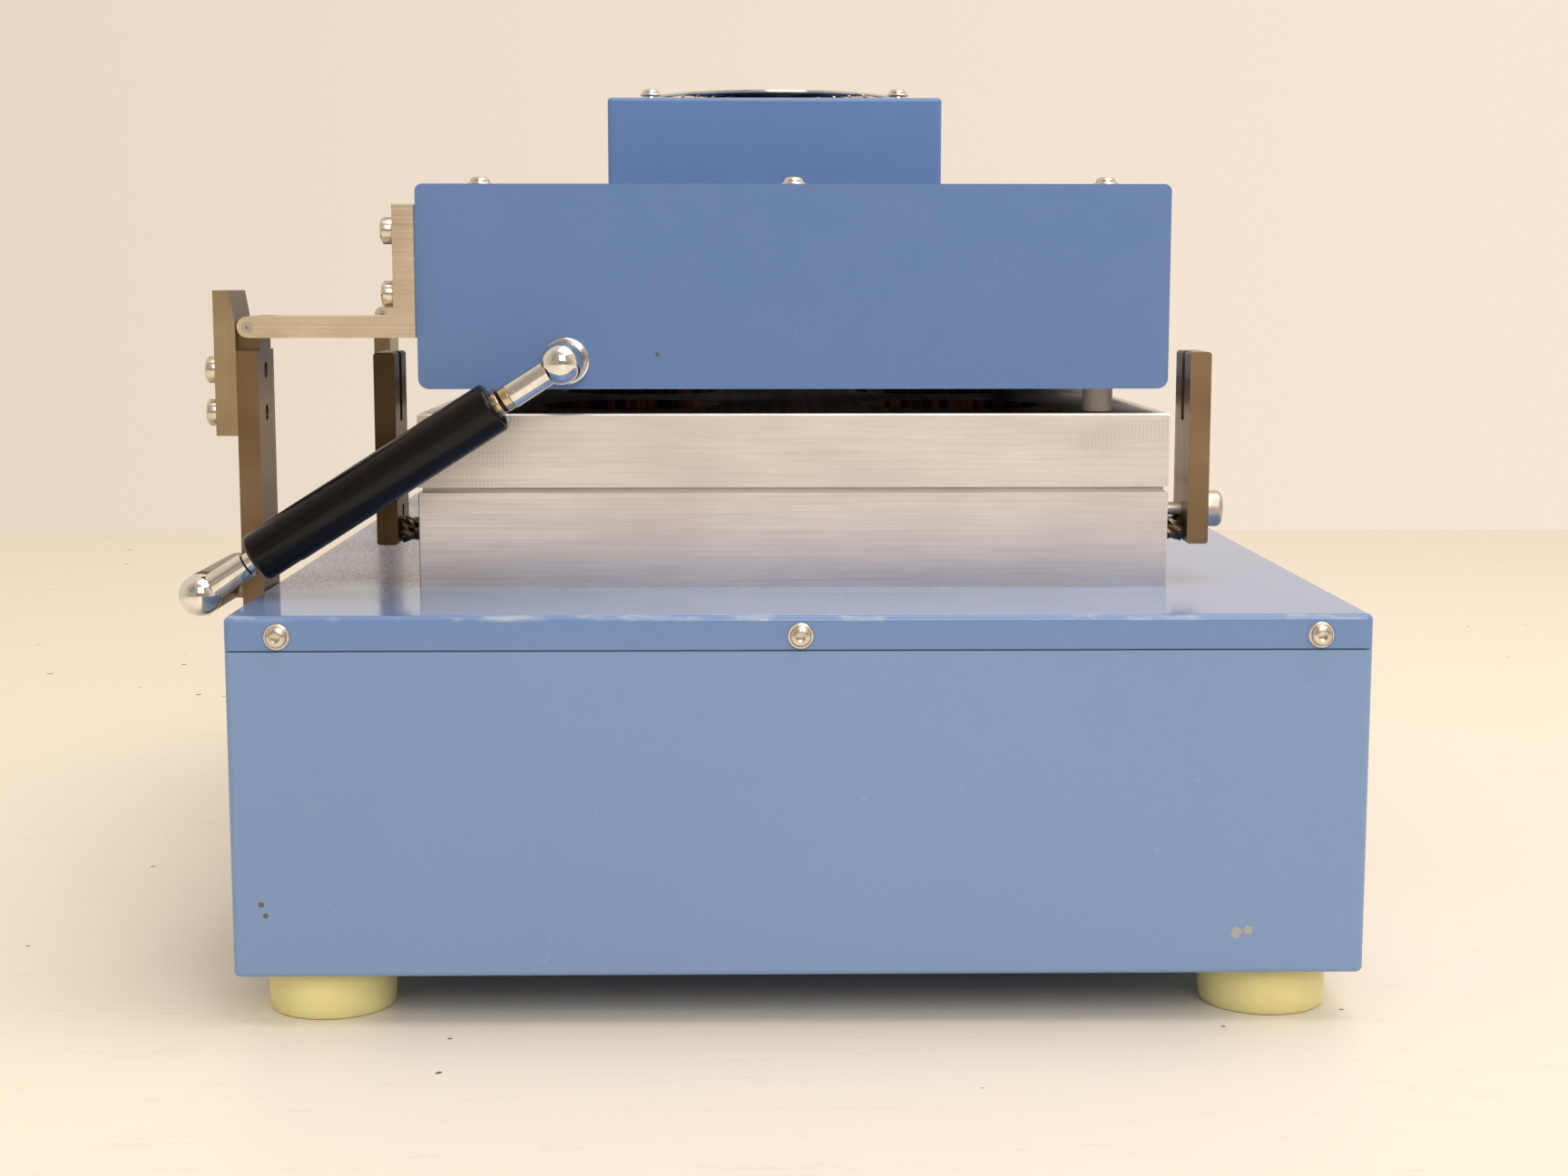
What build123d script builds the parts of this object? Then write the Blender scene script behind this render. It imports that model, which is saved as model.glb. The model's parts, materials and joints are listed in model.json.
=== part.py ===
from build123d import *
import math
import os

# Heated six-place magnetic stirrer with a hinged fan cover.
# +X is the side the user stands at, +Y runs along the hinge line, +Z is up.
# The origin is the middle of the base's outline, on the bench.  Millimetres.

# --- Base housing ---
BASE_WIDTH = 400.0
BASE_LENGTH = 530.0
FOOT_HEIGHT = 18.0
FOOT_DIA = 46.0
FOOT_INSET = 30.0
SHELL_HEIGHT = 116.2
SHELL_WALL = 1.5
SEAM_GAP = 0.5
LID_SKIRT = 12.0
LID_SHEET = 2.0
BEND_RADIUS = 2.5
UPSTAND_RISE = 9.0
SCREW_SPREAD = 181.5
SIDE_SCREW_PITCH = 90.0

# --- Stirring stations and their drive ---
STATION_PITCH_X = 130.0
STATION_PITCH_Y = 120.0
ROTOR_DIA = 100.0
ROTOR_THICK = 14.0
ROTOR_LIFT = 2.5
HUB_DIA = 24.0
HUB_HOLE_DIA = 30.0
SHAFT_DIA = 10.0
MAGNET_DIA = 20.0
MAGNET_DEPTH = 10.0
MAGNET_RADIUS = 33.0
MAGNETS_EACH = 4
PULLEY_DIA = 40.0
PULLEY_FLANGE_DIA = 44.0
PULLEY_WIDTH = 14.0
PULLEY_FLANGE = 1.5
BELT_WIDTH = 10.0
BELT_THICK = 1.5
DECK_THICK = 18.0
DECK_DROP = 14.7
DECK_MARGIN = 42.0
BEARING_DIA = 26.0
BEARING_WIDTH = 8.0
PILLAR_DIA = 12.0
MOTOR_DIA = 70.0
MOTOR_HEIGHT = 54.0
STANDOFF_DIA = 8.0
STANDOFF_RADIUS = 28.0

# --- Block stack ---
BLOCK_WIDTH = 283.0
BLOCK_LENGTH = 376.0
BLOCK_SHIFT_X = -0.75
MAGNET_BLOCK_HEIGHT = 35.9
POCKET_GROWTH = 6.0
POCKET_ROOF = 10.0
HEATER_THICK = 2.0
HEATER_INSET = 1.6
VESSEL_BLOCK_HEIGHT = 27.7
WELL_DIA = 72.0
WELL_DEPTH = 24.0
BLOCK_SCREW_X = 98.2
BLOCK_SCREW_END = 16.0
BLOCK_SCREW_BORE = 10.6
BLOCK_SCREW_SINK = 8.0
BLOCK_SCREW_BITE = 12.0
STOP_POST_DIA = 11.5
STOP_POST_HEIGHT = 9.3
STOP_POST_X = 116.5
STOP_POST_END = 17.0

# --- Guide bars ---
BAR_THICK = 8.0
BAR_DEPTH = 30.0
GUIDE_HEIGHT = 73.0
GUIDE_LIFT = 15.3
GUIDE_GAP = 9.0
GUIDE_SETBACK = 8.0
GUIDE_GROOVE_WIDTH = 6.0
GUIDE_GROOVE_DEPTH = 2.5
GUIDE_GROOVE_LENGTH = 26.0
GUIDE_PIN_HOLE = 4.0
GUIDE_PIN_DROP = 14.0
GUIDE_SPACER_DIA = 9.4
GUIDE_SPACER_RISE = 4.6
KNOB_RISE = 12.2
KNOB_DIA = 14.0
KNOB_LENGTH = 7.2

# --- Hinge ---
BAR_SETBACK = 5.0
REAR_BAR_INSET = 23.0
POST_BELOW_LID = 84.7
PIVOT_RISE = 23.2
PIVOT_OUT = 3.5
POST_TOP_DROP = 8.7
PIN_DIA = 4.0
TONGUE_WIDTH = 20.0
CHEEK_GAP = 0.3
ARM_THICK = 8.0
FORK_REACH = 8.0
PLATE_FOOT_DROP = 40.3
PLATE_HEIGHT = 53.8
PLATE_BEVEL = 2.14
BEVEL_START_RISE = 0.5
PLATE_SCREW_RISES = (8.0, 24.0)
POST_SCREW_RISES = (14.0, 54.0)
POST_TAP_DEPTH = 6.5
ARM_LEG_HEIGHT = 49.0
ARM_SCREW_RISES = (16.0, 39.6)

# --- Fan cover ---
COVER_SIDE_INSET = 0.9
COVER_END_INSET = 0.0
COVER_SHIFT_X = -0.8
COVER_HEIGHT = 75.9
COVER_WALL = 2.0
COVER_TOP_RADIUS = 2.7
COVER_FOOT_RADIUS = 4.0
COVER_LIP = 14.0
COVER_SCREW_PITCH = 117.5
COVER_SCREW_SETBACK = 10.0
FAN_BOX_SIZE = 140.0
FAN_BOX_HEIGHT = 40.3
FAN_SHIFT_X = -6.5
FAN_SIZE = 120.0
FAN_DEPTH = 38.0
FAN_BORE = 114.0
FAN_SCREW_PITCH = 105.0
FAN_HUB_DIA = 42.0
FAN_BLADES = 7
FAN_BLADE_PITCH_DEG = 48.0
FAN_TIP_GAP = 1.5
GUARD_RINGS = (20.0, 29.0, 38.0, 47.0, 55.0)
GUARD_WIRE = 1.8

# --- Gas strut, in one plane in front of the hinge and the cover ---
STRUT_STAND_OFF = 27.0
LOWER_BALL_OUT = 18.9
LOWER_BALL_RISE = 1.0
UPPER_BALL_IN = 55.4
UPPER_BALL_RISE = 10.4
SOCKET_DIA = 15.5
BALL_DIA = 10.0
BALL_FIT = 0.3
SEAT_FLOOR_DIA = 5.8
SEAT_TAPER = 3.3
SHANK_DIA = 9.8
LOWER_SHANK_END = 21.2
TUBE_START = 24.3
TUBE_STEP = 39.3
TUBE_END_BACK = 28.1
UPPER_SHANK_LENGTH = 21.6
TUBE_DIA = 19.2
TUBE_NOSE_DIA = 18.6
TUBE_BORE = 16.2
ROD_DIA = 8.0
ROD_END_BACK = 35.4
STUD_DIA = 6.0
NECK_DIA = 6.0
FLANGE_DIA = 17.6
FLANGE_THICK = 2.5
OPEN_PIVOT_GAP = 0.4
ANCHOR_DIA = 15.5
ANCHOR_LENGTH = 59.4

# --- Control panel and electrics ---
PANEL_LENGTH = 190.0
PANEL_HEIGHT = 62.0
PANEL_FACE = 2.5
PANEL_DEPTH = 10.0
PANEL_Z = 76.0
DISPLAY_LENGTH = 56.0
DISPLAY_HEIGHT = 22.0
DISPLAY_Y = 0.0
KNOB_Y = -58.0
SPEED_KNOB_DIA = 34.0
SPEED_KNOB_LENGTH = 23.6
SPINDLE_DIA = 6.0
SWITCH_Y = 62.0
SWITCH_LENGTH = 15.0
SWITCH_HEIGHT = 25.0
INLET_Y = 60.0
INLET_Z = 58.0
INLET_FACE = (48.0, 34.0)
INLET_FLANGE = (62.0, 40.0, 3.0)
INLET_STAND = 18.0
INLET_CUT = (20.0, 14.0)
INLET_RECESS = (25.0, 17.0)
INLET_RECESS_DEPTH = 15.0
PIN_SLOT = (2.0, 4.0)
PIN_LENGTH = 6.0

# --- Shared fits ---
RUNNING = 0.05
CLEAR = 0.4
M6_DIA = 6.0
M6_SHANK_DIA = 5.9
M6_HEAD_DIA = 10.0
M6_HEAD_HEIGHT = 6.0
M6_SOCKET_RADIUS = 2.85
M6_SOCKET_DEPTH = 3.3
M4_DIA = 4.0
M4_SOCKET_RADIUS = 1.45
M4_SOCKET_DEPTH = 1.6
SCREW_PLAY = 0.1
FLANGE_HEAD_DIA = 9.4
FLANGE_HEAD_RIM = 0.9
DOME_DIA = 7.8
DOME_TOP_DIA = 4.6
DOME_HEIGHT = 2.0

# --- Levels and places that follow from the sizes above ---
SHELL_TOP = FOOT_HEIGHT + SHELL_HEIGHT
LID_FOOT = SHELL_TOP + SEAM_GAP
LID_TOP = LID_FOOT + LID_SKIRT
LID_UNDER = LID_TOP - LID_SHEET
SIDE_X = BASE_WIDTH / 2
FRONT_Y = -BASE_LENGTH / 2
BLOCK_SEAM = LID_TOP + MAGNET_BLOCK_HEIGHT
VESSEL_FOOT = BLOCK_SEAM + HEATER_THICK
BLOCK_TOP = VESSEL_FOOT + VESSEL_BLOCK_HEIGHT
COVER_FOOT = BLOCK_TOP + STOP_POST_HEIGHT
COVER_TOP = COVER_FOOT + COVER_HEIGHT
FAN_BOX_TOP = COVER_TOP + FAN_BOX_HEIGHT
DECK_TOP = LID_UNDER - DECK_DROP
DECK_FOOT = DECK_TOP - DECK_THICK
PULLEY_TOP = DECK_FOOT - 2.0
PULLEY_FOOT = PULLEY_TOP - PULLEY_WIDTH
MOTOR_TOP = PULLEY_FOOT - 8.0
ROTOR_FOOT = LID_TOP + ROTOR_LIFT
COVER_WIDTH = BLOCK_WIDTH - 2 * COVER_SIDE_INSET
COVER_LENGTH = BLOCK_LENGTH - 2 * COVER_END_INSET
COVER_LEFT = COVER_SHIFT_X - COVER_WIDTH / 2
COVER_FRONT = -COVER_LENGTH / 2
BAR_Y = COVER_FRONT - BAR_SETBACK + BAR_DEPTH / 2
REAR_BAR_Y = -COVER_FRONT - REAR_BAR_INSET - BAR_DEPTH / 2
HINGE_ROWS = (BAR_Y, REAR_BAR_Y)
GUIDE_Y = -BLOCK_LENGTH / 2 + GUIDE_SETBACK + BAR_DEPTH / 2
GUIDE_FOOT = LID_TOP + GUIDE_LIFT
PIVOT_X = -SIDE_X - PIVOT_OUT
PIVOT_Z = COVER_FOOT + PIVOT_RISE
POST_TOP_Z = PIVOT_Z - POST_TOP_DROP
POST_FOOT_Z = LID_TOP - POST_BELOW_LID
PLATE_FOOT_Z = PIVOT_Z - PLATE_FOOT_DROP
STRUT_Y = COVER_FRONT - STRUT_STAND_OFF
LOWER_BALL_X = -SIDE_X - LOWER_BALL_OUT
LOWER_BALL_Z = LID_TOP + LOWER_BALL_RISE
UPPER_BALL_X = COVER_LEFT + UPPER_BALL_IN
UPPER_BALL_Z = COVER_FOOT + UPPER_BALL_RISE
LOWER_BALL = Vector(LOWER_BALL_X, STRUT_Y, LOWER_BALL_Z)
UPPER_BALL = Vector(UPPER_BALL_X, STRUT_Y, UPPER_BALL_Z)
STRUT_LENGTH = (UPPER_BALL - LOWER_BALL).length
TUBE_END = STRUT_LENGTH - TUBE_END_BACK
UPPER_SHANK_START = STRUT_LENGTH - UPPER_SHANK_LENGTH
ROD_END = STRUT_LENGTH - ROD_END_BACK
STRUT_PLANE = Plane(LOWER_BALL, x_dir=(0, 1, 0), z_dir=UPPER_BALL - LOWER_BALL)
STATIONS = [
    (ix * STATION_PITCH_X / 2 + BLOCK_SHIFT_X, iy * STATION_PITCH_Y)
    for iy in (-1, 0, 1)
    for ix in (-1, 1)
]
ON_FOOT = (Align.CENTER, Align.CENTER, Align.MIN)
UNDER = (Align.CENTER, Align.CENTER, Align.MAX)


def save(piece, name):
    """Label a finished piece and write its STEP file."""
    piece.label = name
    export_step(piece, f"parts/{name}.step")


def facing(direction, points):
    """Locations at the points with local +Z along the direction."""
    return [Plane(Vector(*point), z_dir=direction).location for point in points]


def m6_screws(places, shank_length):
    """Socket cap screws whose heads stand on the places, shanks running back along local -Z."""
    with BuildPart() as screws:
        with Locations(*places):
            Cylinder(M6_HEAD_DIA / 2, M6_HEAD_HEIGHT, align=ON_FOOT)
            Cylinder(M6_SHANK_DIA / 2, shank_length, align=UNDER)
        for place in places:
            with BuildSketch(Plane(place * Pos(0, 0, M6_HEAD_HEIGHT))):
                RegularPolygon(M6_SOCKET_RADIUS, 6)
            extrude(amount=-M6_SOCKET_DEPTH, mode=Mode.SUBTRACT)
    return screws.part


def flanged_screws(places, shank_length):
    """Button-head screws with a flange, standing on the places along local +Z."""
    with BuildPart() as screws:
        with Locations(*places):
            Cylinder(FLANGE_HEAD_DIA / 2, FLANGE_HEAD_RIM, align=ON_FOOT)
            Cylinder(M4_DIA / 2, shank_length, align=UNDER)
        with Locations(*[place * Pos(0, 0, FLANGE_HEAD_RIM) for place in places]):
            Cone(DOME_DIA / 2, DOME_TOP_DIA / 2, DOME_HEIGHT, align=ON_FOOT)
        for place in places:
            with BuildSketch(Plane(place * Pos(0, 0, FLANGE_HEAD_RIM + DOME_HEIGHT))):
                RegularPolygon(M4_SOCKET_RADIUS, 6)
            extrude(amount=-M4_SOCKET_DEPTH, mode=Mode.SUBTRACT)
    return screws.part


os.makedirs("parts", exist_ok=True)

# ---------------------------------------------------------------- base housing
FOOT_SPOTS = [
    (ix * (SIDE_X - FOOT_INSET), -iy * (FRONT_Y + FOOT_INSET))
    for ix in (-1, 1)
    for iy in (-1, 1)
]
PANEL_CUT = (PANEL_LENGTH - 14.0, PANEL_HEIGHT - 14.0)
UPSTAND_SIZE = (BASE_WIDTH - 2 * (LID_SHEET + CLEAR), BASE_LENGTH - 2 * (LID_SHEET + CLEAR))
POST_SCREW_Z = [POST_FOOT_Z + rise for rise in POST_SCREW_RISES]
VENT_SLOT = (34.0, 4.0)
VENT_SPOT = (-20.0, 52.0)
VENT_PITCH = 9.0
VENT_COUNT = 9

with BuildPart() as base_shell:
    with BuildSketch(Plane.XY.offset(FOOT_HEIGHT)):
        RectangleRounded(BASE_WIDTH, BASE_LENGTH, BEND_RADIUS)
    extrude(amount=SHELL_HEIGHT)
    fillet(faces().sort_by(Axis.Z)[0].edges(), BEND_RADIUS * 0.8)
    with BuildSketch(Plane.XY.offset(FOOT_HEIGHT + SHELL_WALL)):
        Rectangle(BASE_WIDTH - 2 * SHELL_WALL, BASE_LENGTH - 2 * SHELL_WALL)
    extrude(amount=SHELL_HEIGHT - 2 * SHELL_WALL, mode=Mode.SUBTRACT)
    with BuildSketch(Plane.XY.offset(SHELL_TOP - SHELL_WALL)):
        Rectangle(*UPSTAND_SIZE)
    extrude(amount=SHELL_WALL + UPSTAND_RISE)
    with BuildSketch(Plane.XY.offset(SHELL_TOP - SHELL_WALL)):
        Rectangle(UPSTAND_SIZE[0] - 2 * SHELL_WALL, UPSTAND_SIZE[1] - 2 * SHELL_WALL)
    extrude(amount=SHELL_WALL + UPSTAND_RISE, mode=Mode.SUBTRACT)
    with BuildSketch(Plane.XY.offset(FOOT_HEIGHT)):
        with Locations(*FOOT_SPOTS):
            Circle(M6_DIA / 2 + CLEAR)
    extrude(amount=SHELL_WALL, mode=Mode.SUBTRACT)
    with BuildSketch(Plane.YZ.offset(SIDE_X - SHELL_WALL)):
        with Locations((0, PANEL_Z)):
            Rectangle(*PANEL_CUT)
    extrude(amount=SHELL_WALL, mode=Mode.SUBTRACT)
    with BuildSketch(Plane.YZ.offset(-SIDE_X)):
        with Locations((INLET_Y, INLET_Z)):
            Rectangle(*INLET_CUT)
        with Locations(*[(y, z) for y in HINGE_ROWS for z in POST_SCREW_Z]):
            Circle(M6_DIA / 2 + CLEAR)
        with GridLocations(VENT_PITCH, 0, VENT_COUNT, 1):
            with Locations(VENT_SPOT):
                SlotOverall(*VENT_SLOT, rotation=90)
    extrude(amount=SHELL_WALL, mode=Mode.SUBTRACT)
save(base_shell.part, "base_shell")

BASE_SCREW_Z = LID_FOOT + 4.8
END_SPREADS = (-SCREW_SPREAD, 0, SCREW_SPREAD)
SIDE_SPREADS = (-SIDE_SCREW_PITCH, 0, SIDE_SCREW_PITCH)
LID_SCREWS = (
    facing((0, -1, 0), [(x, FRONT_Y, BASE_SCREW_Z) for x in END_SPREADS])
    + facing((0, 1, 0), [(x, -FRONT_Y, BASE_SCREW_Z) for x in END_SPREADS])
    + facing((1, 0, 0), [(SIDE_X, y, BASE_SCREW_Z) for y in SIDE_SPREADS])
    + facing((-1, 0, 0), [(-SIDE_X, y, BASE_SCREW_Z) for y in SIDE_SPREADS])
)
LID_SCREW_LENGTH = LID_SHEET + CLEAR - 0.1

with BuildPart() as base_lid:
    with BuildSketch(Plane.XY.offset(LID_FOOT)):
        RectangleRounded(BASE_WIDTH, BASE_LENGTH, BEND_RADIUS)
    extrude(amount=LID_SKIRT)
    fillet(faces().sort_by(Axis.Z)[-1].edges(), BEND_RADIUS * 0.9)
    with BuildSketch(Plane.XY.offset(LID_FOOT)):
        Rectangle(BASE_WIDTH - 2 * LID_SHEET, BASE_LENGTH - 2 * LID_SHEET)
    extrude(amount=LID_SKIRT - LID_SHEET, mode=Mode.SUBTRACT)
    with BuildSketch(Plane.XY.offset(LID_UNDER)):
        with Locations(*STATIONS):
            Circle(HUB_HOLE_DIA / 2)
    extrude(amount=LID_SHEET, mode=Mode.SUBTRACT)
    with Locations(*LID_SCREWS):
        Cylinder(M4_DIA / 2 + SCREW_PLAY, LID_SHEET + 1, align=UNDER, mode=Mode.SUBTRACT)
save(base_lid.part, "base_lid")
save(flanged_screws(LID_SCREWS, LID_SCREW_LENGTH), "base_lid_screws")

FOOT_RECESS = 8.0
FOOT_THREAD = 6.0
with BuildPart() as feet:
    with BuildSketch():
        with Locations(*FOOT_SPOTS):
            Circle(FOOT_DIA / 2)
    extrude(amount=FOOT_HEIGHT)
    chamfer(edges().filter_by(GeomType.CIRCLE).group_by(Axis.Z)[0], 1.0)
    with BuildSketch():
        with Locations(*FOOT_SPOTS):
            Circle(M6_DIA / 2 + CLEAR)
    extrude(amount=FOOT_HEIGHT, mode=Mode.SUBTRACT)
    with BuildSketch():
        with Locations(*FOOT_SPOTS):
            Circle(M6_HEAD_DIA / 2 + CLEAR)
    extrude(amount=FOOT_RECESS, mode=Mode.SUBTRACT)
save(feet.part, "feet")
foot_places = facing((0, 0, -1), [(x, y, FOOT_RECESS) for x, y in FOOT_SPOTS])
save(m6_screws(foot_places, FOOT_HEIGHT - FOOT_RECESS + FOOT_THREAD), "foot_screws")

# ------------------------------------------------------------- stirring drive
DECK_SIZE = (STATION_PITCH_X + 2 * DECK_MARGIN, 2 * STATION_PITCH_Y + 2 * DECK_MARGIN)
PILLAR_SPOTS = [
    (ix * (DECK_SIZE[0] / 2 - PILLAR_DIA), iy * (DECK_SIZE[1] / 2 - PILLAR_DIA))
    for ix in (-1, 1)
    for iy in (-1, 0, 1)
]
MOTOR_SPOT = STATIONS[0]
STANDOFF_SPOTS = [
    (MOTOR_SPOT[0] + dx * STANDOFF_RADIUS, MOTOR_SPOT[1] + dy * STANDOFF_RADIUS)
    for dx, dy in ((1, 0), (-1, 0), (0, 1), (0, -1))
]

with BuildPart() as drive_deck:
    with BuildSketch(Plane.XY.offset(DECK_FOOT)):
        RectangleRounded(*DECK_SIZE, 6)
        with Locations(*STATIONS):
            Circle(BEARING_DIA / 2, mode=Mode.SUBTRACT)
    extrude(amount=DECK_THICK)
save(drive_deck.part, "drive_deck")

with BuildPart() as deck_pillars:
    with BuildSketch(Plane.XY.offset(DECK_TOP)):
        with Locations(*PILLAR_SPOTS):
            Circle(PILLAR_DIA / 2)
    extrude(amount=DECK_DROP)
    with BuildSketch(Plane.XY.offset(MOTOR_TOP)):
        with Locations(*STANDOFF_SPOTS):
            Circle(STANDOFF_DIA / 2)
    extrude(amount=DECK_FOOT - MOTOR_TOP)
save(deck_pillars.part, "deck_pillars")

with BuildPart() as rotor_bearings:
    for foot in (DECK_FOOT, DECK_TOP - BEARING_WIDTH):
        with BuildSketch(Plane.XY.offset(foot)):
            with Locations(*STATIONS):
                Circle(BEARING_DIA / 2)
                Circle(SHAFT_DIA / 2 + RUNNING, mode=Mode.SUBTRACT)
        extrude(amount=BEARING_WIDTH)
save(rotor_bearings.part, "rotor_bearings")

MOTOR_SHAFT_DEPTH = 16.0
with BuildPart() as drive_motor:
    with BuildSketch(Plane.XY.offset(MOTOR_TOP - MOTOR_HEIGHT)):
        with Locations(MOTOR_SPOT):
            Circle(MOTOR_DIA / 2)
    extrude(amount=MOTOR_HEIGHT)
    chamfer(edges().filter_by(GeomType.CIRCLE).group_by(Axis.Z)[0], 3)
    with BuildSketch(Plane.XY.offset(MOTOR_TOP)):
        with Locations(MOTOR_SPOT):
            Circle(SHAFT_DIA / 2 + RUNNING)
    extrude(amount=-MOTOR_SHAFT_DEPTH - 1, mode=Mode.SUBTRACT)
save(drive_motor.part, "drive_motor")

BELT_REACH = PULLEY_DIA / 2 + CLEAR / 2
BELT_RUN = (STATION_PITCH_X + 2 * BELT_REACH, 2 * STATION_PITCH_Y + 2 * BELT_REACH)
with BuildPart() as drive_belt:
    with BuildSketch(Plane.XY.offset(PULLEY_FOOT + (PULLEY_WIDTH - BELT_WIDTH) / 2)):
        with Locations((BLOCK_SHIFT_X, 0)):
            belt_inside = RectangleRounded(*BELT_RUN, BELT_REACH)
            offset(belt_inside, BELT_THICK, kind=Kind.ARC)
            RectangleRounded(*BELT_RUN, BELT_REACH, mode=Mode.SUBTRACT)
    extrude(amount=BELT_WIDTH)
save(drive_belt.part, "drive_belt")


def magnet_rotor(spot, shaft_foot):
    """One turned rotor: magnet disc, hub, shaft and belt pulley in a single piece."""
    disc_top = ROTOR_FOOT + ROTOR_THICK
    with BuildPart() as rotor:
        with BuildSketch(Plane.XY.offset(ROTOR_FOOT)):
            with Locations(spot):
                Circle(ROTOR_DIA / 2)
        extrude(amount=ROTOR_THICK)
        with BuildSketch(Plane.XY.offset(DECK_TOP + 0.5)):
            with Locations(spot):
                Circle(HUB_DIA / 2 - 4)
        extrude(amount=ROTOR_FOOT - DECK_TOP)
        with BuildSketch(Plane.XY.offset(shaft_foot)):
            with Locations(spot):
                Circle(SHAFT_DIA / 2)
        extrude(amount=DECK_TOP + 1 - shaft_foot)
        with BuildSketch(Plane.XY.offset(PULLEY_FOOT)):
            with Locations(spot):
                Circle(PULLEY_DIA / 2)
        extrude(amount=PULLEY_WIDTH)
        for foot in (PULLEY_FOOT, PULLEY_TOP - PULLEY_FLANGE):
            with BuildSketch(Plane.XY.offset(foot)):
                with Locations(spot):
                    Circle(PULLEY_FLANGE_DIA / 2)
            extrude(amount=PULLEY_FLANGE)
        with BuildSketch(Plane.XY.offset(disc_top - MAGNET_DEPTH)):
            with Locations(spot):
                with PolarLocations(MAGNET_RADIUS, MAGNETS_EACH):
                    Circle(MAGNET_DIA / 2)
        extrude(amount=MAGNET_DEPTH, mode=Mode.SUBTRACT)
    return rotor.part


def rotor_magnets(spot):
    """The round magnets that fill one rotor's pockets."""
    with BuildPart() as magnets:
        with BuildSketch(Plane.XY.offset(ROTOR_FOOT + ROTOR_THICK - MAGNET_DEPTH)):
            with Locations(spot):
                with PolarLocations(MAGNET_RADIUS, MAGNETS_EACH):
                    Circle(MAGNET_DIA / 2)
        extrude(amount=MAGNET_DEPTH)
    return magnets.part


for number, spot in enumerate(STATIONS, start=1):
    shaft_foot = MOTOR_TOP - MOTOR_SHAFT_DEPTH if spot == MOTOR_SPOT else PULLEY_FOOT
    save(magnet_rotor(spot, shaft_foot), f"magnet_rotor_{number}")
    save(rotor_magnets(spot), f"rotor_magnets_{number}")

# ----------------------------------------------------------------- block stack
SCREW_ROW_Y = BLOCK_LENGTH / 2 - BLOCK_SCREW_END
BLOCK_SCREW_SPOTS = [
    (BLOCK_SHIFT_X + ix * BLOCK_SCREW_X, iy * SCREW_ROW_Y) for ix in (-1, 1) for iy in (-1, 1)
]
STOP_POST_SPOTS = [
    (BLOCK_SHIFT_X + STOP_POST_X, iy * (BLOCK_LENGTH / 2 - STOP_POST_END)) for iy in (-1, 1)
]
SCREW_SEAT = BLOCK_TOP - BLOCK_SCREW_SINK

with BuildPart() as magnet_block:
    with BuildSketch(Plane.XY.offset(LID_TOP)):
        with Locations((BLOCK_SHIFT_X, 0)):
            Rectangle(BLOCK_WIDTH, BLOCK_LENGTH)
    extrude(amount=MAGNET_BLOCK_HEIGHT)
    chamfer(edges().filter_by(Axis.Z), 0.4)
    with BuildSketch(Plane.XY.offset(LID_TOP)):
        with Locations(*STATIONS):
            Circle((ROTOR_DIA + POCKET_GROWTH) / 2)
    extrude(amount=MAGNET_BLOCK_HEIGHT - POCKET_ROOF, mode=Mode.SUBTRACT)
    with BuildSketch(Plane.XY.offset(BLOCK_SEAM)):
        with Locations(*BLOCK_SCREW_SPOTS):
            Circle(M6_DIA / 2)
    extrude(amount=-BLOCK_SCREW_BITE - 2, mode=Mode.SUBTRACT)
save(magnet_block.part, "magnet_block")

with BuildPart() as heater_mat:
    with BuildSketch(Plane.XY.offset(BLOCK_SEAM)):
        with Locations((BLOCK_SHIFT_X, 0)):
            Rectangle(BLOCK_WIDTH - 2 * HEATER_INSET, BLOCK_LENGTH - 2 * HEATER_INSET)
        with Locations(*BLOCK_SCREW_SPOTS):
            Circle(M6_DIA / 2 + CLEAR, mode=Mode.SUBTRACT)
    extrude(amount=HEATER_THICK)
save(heater_mat.part, "heater_mat")

with BuildPart() as vessel_block:
    with BuildSketch(Plane.XY.offset(VESSEL_FOOT)):
        with Locations((BLOCK_SHIFT_X, 0)):
            Rectangle(BLOCK_WIDTH, BLOCK_LENGTH)
        with Locations(*BLOCK_SCREW_SPOTS):
            Circle(M6_DIA / 2 + CLEAR, mode=Mode.SUBTRACT)
    extrude(amount=VESSEL_BLOCK_HEIGHT)
    chamfer(faces().sort_by(Axis.Z)[-1].outer_wire().edges(), 0.6)
    with BuildSketch(Plane.XY.offset(BLOCK_TOP)):
        with Locations(*STATIONS):
            Circle(WELL_DIA / 2)
    extrude(amount=-WELL_DEPTH, mode=Mode.SUBTRACT)
    with BuildSketch(Plane.XY.offset(BLOCK_TOP)):
        with Locations(*BLOCK_SCREW_SPOTS):
            Circle(BLOCK_SCREW_BORE / 2)
    extrude(amount=SCREW_SEAT - BLOCK_TOP, mode=Mode.SUBTRACT)
save(vessel_block.part, "vessel_block")

block_places = facing((0, 0, 1), [(x, y, SCREW_SEAT) for x, y in BLOCK_SCREW_SPOTS])
save(m6_screws(block_places, SCREW_SEAT - BLOCK_SEAM + BLOCK_SCREW_BITE), "block_screws")

with BuildPart() as stop_posts:
    with BuildSketch(Plane.XY.offset(BLOCK_TOP)):
        with Locations(*STOP_POST_SPOTS):
            Circle(STOP_POST_DIA / 2)
    extrude(amount=STOP_POST_HEIGHT)
save(stop_posts.part, "stop_posts")

# ------------------------------------------------------------------ guide bars
KNOB_Z = GUIDE_FOOT + KNOB_RISE
SPACER_Z = GUIDE_FOOT + GUIDE_SPACER_RISE
KNOB_STEM_DIA = 5.0


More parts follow.
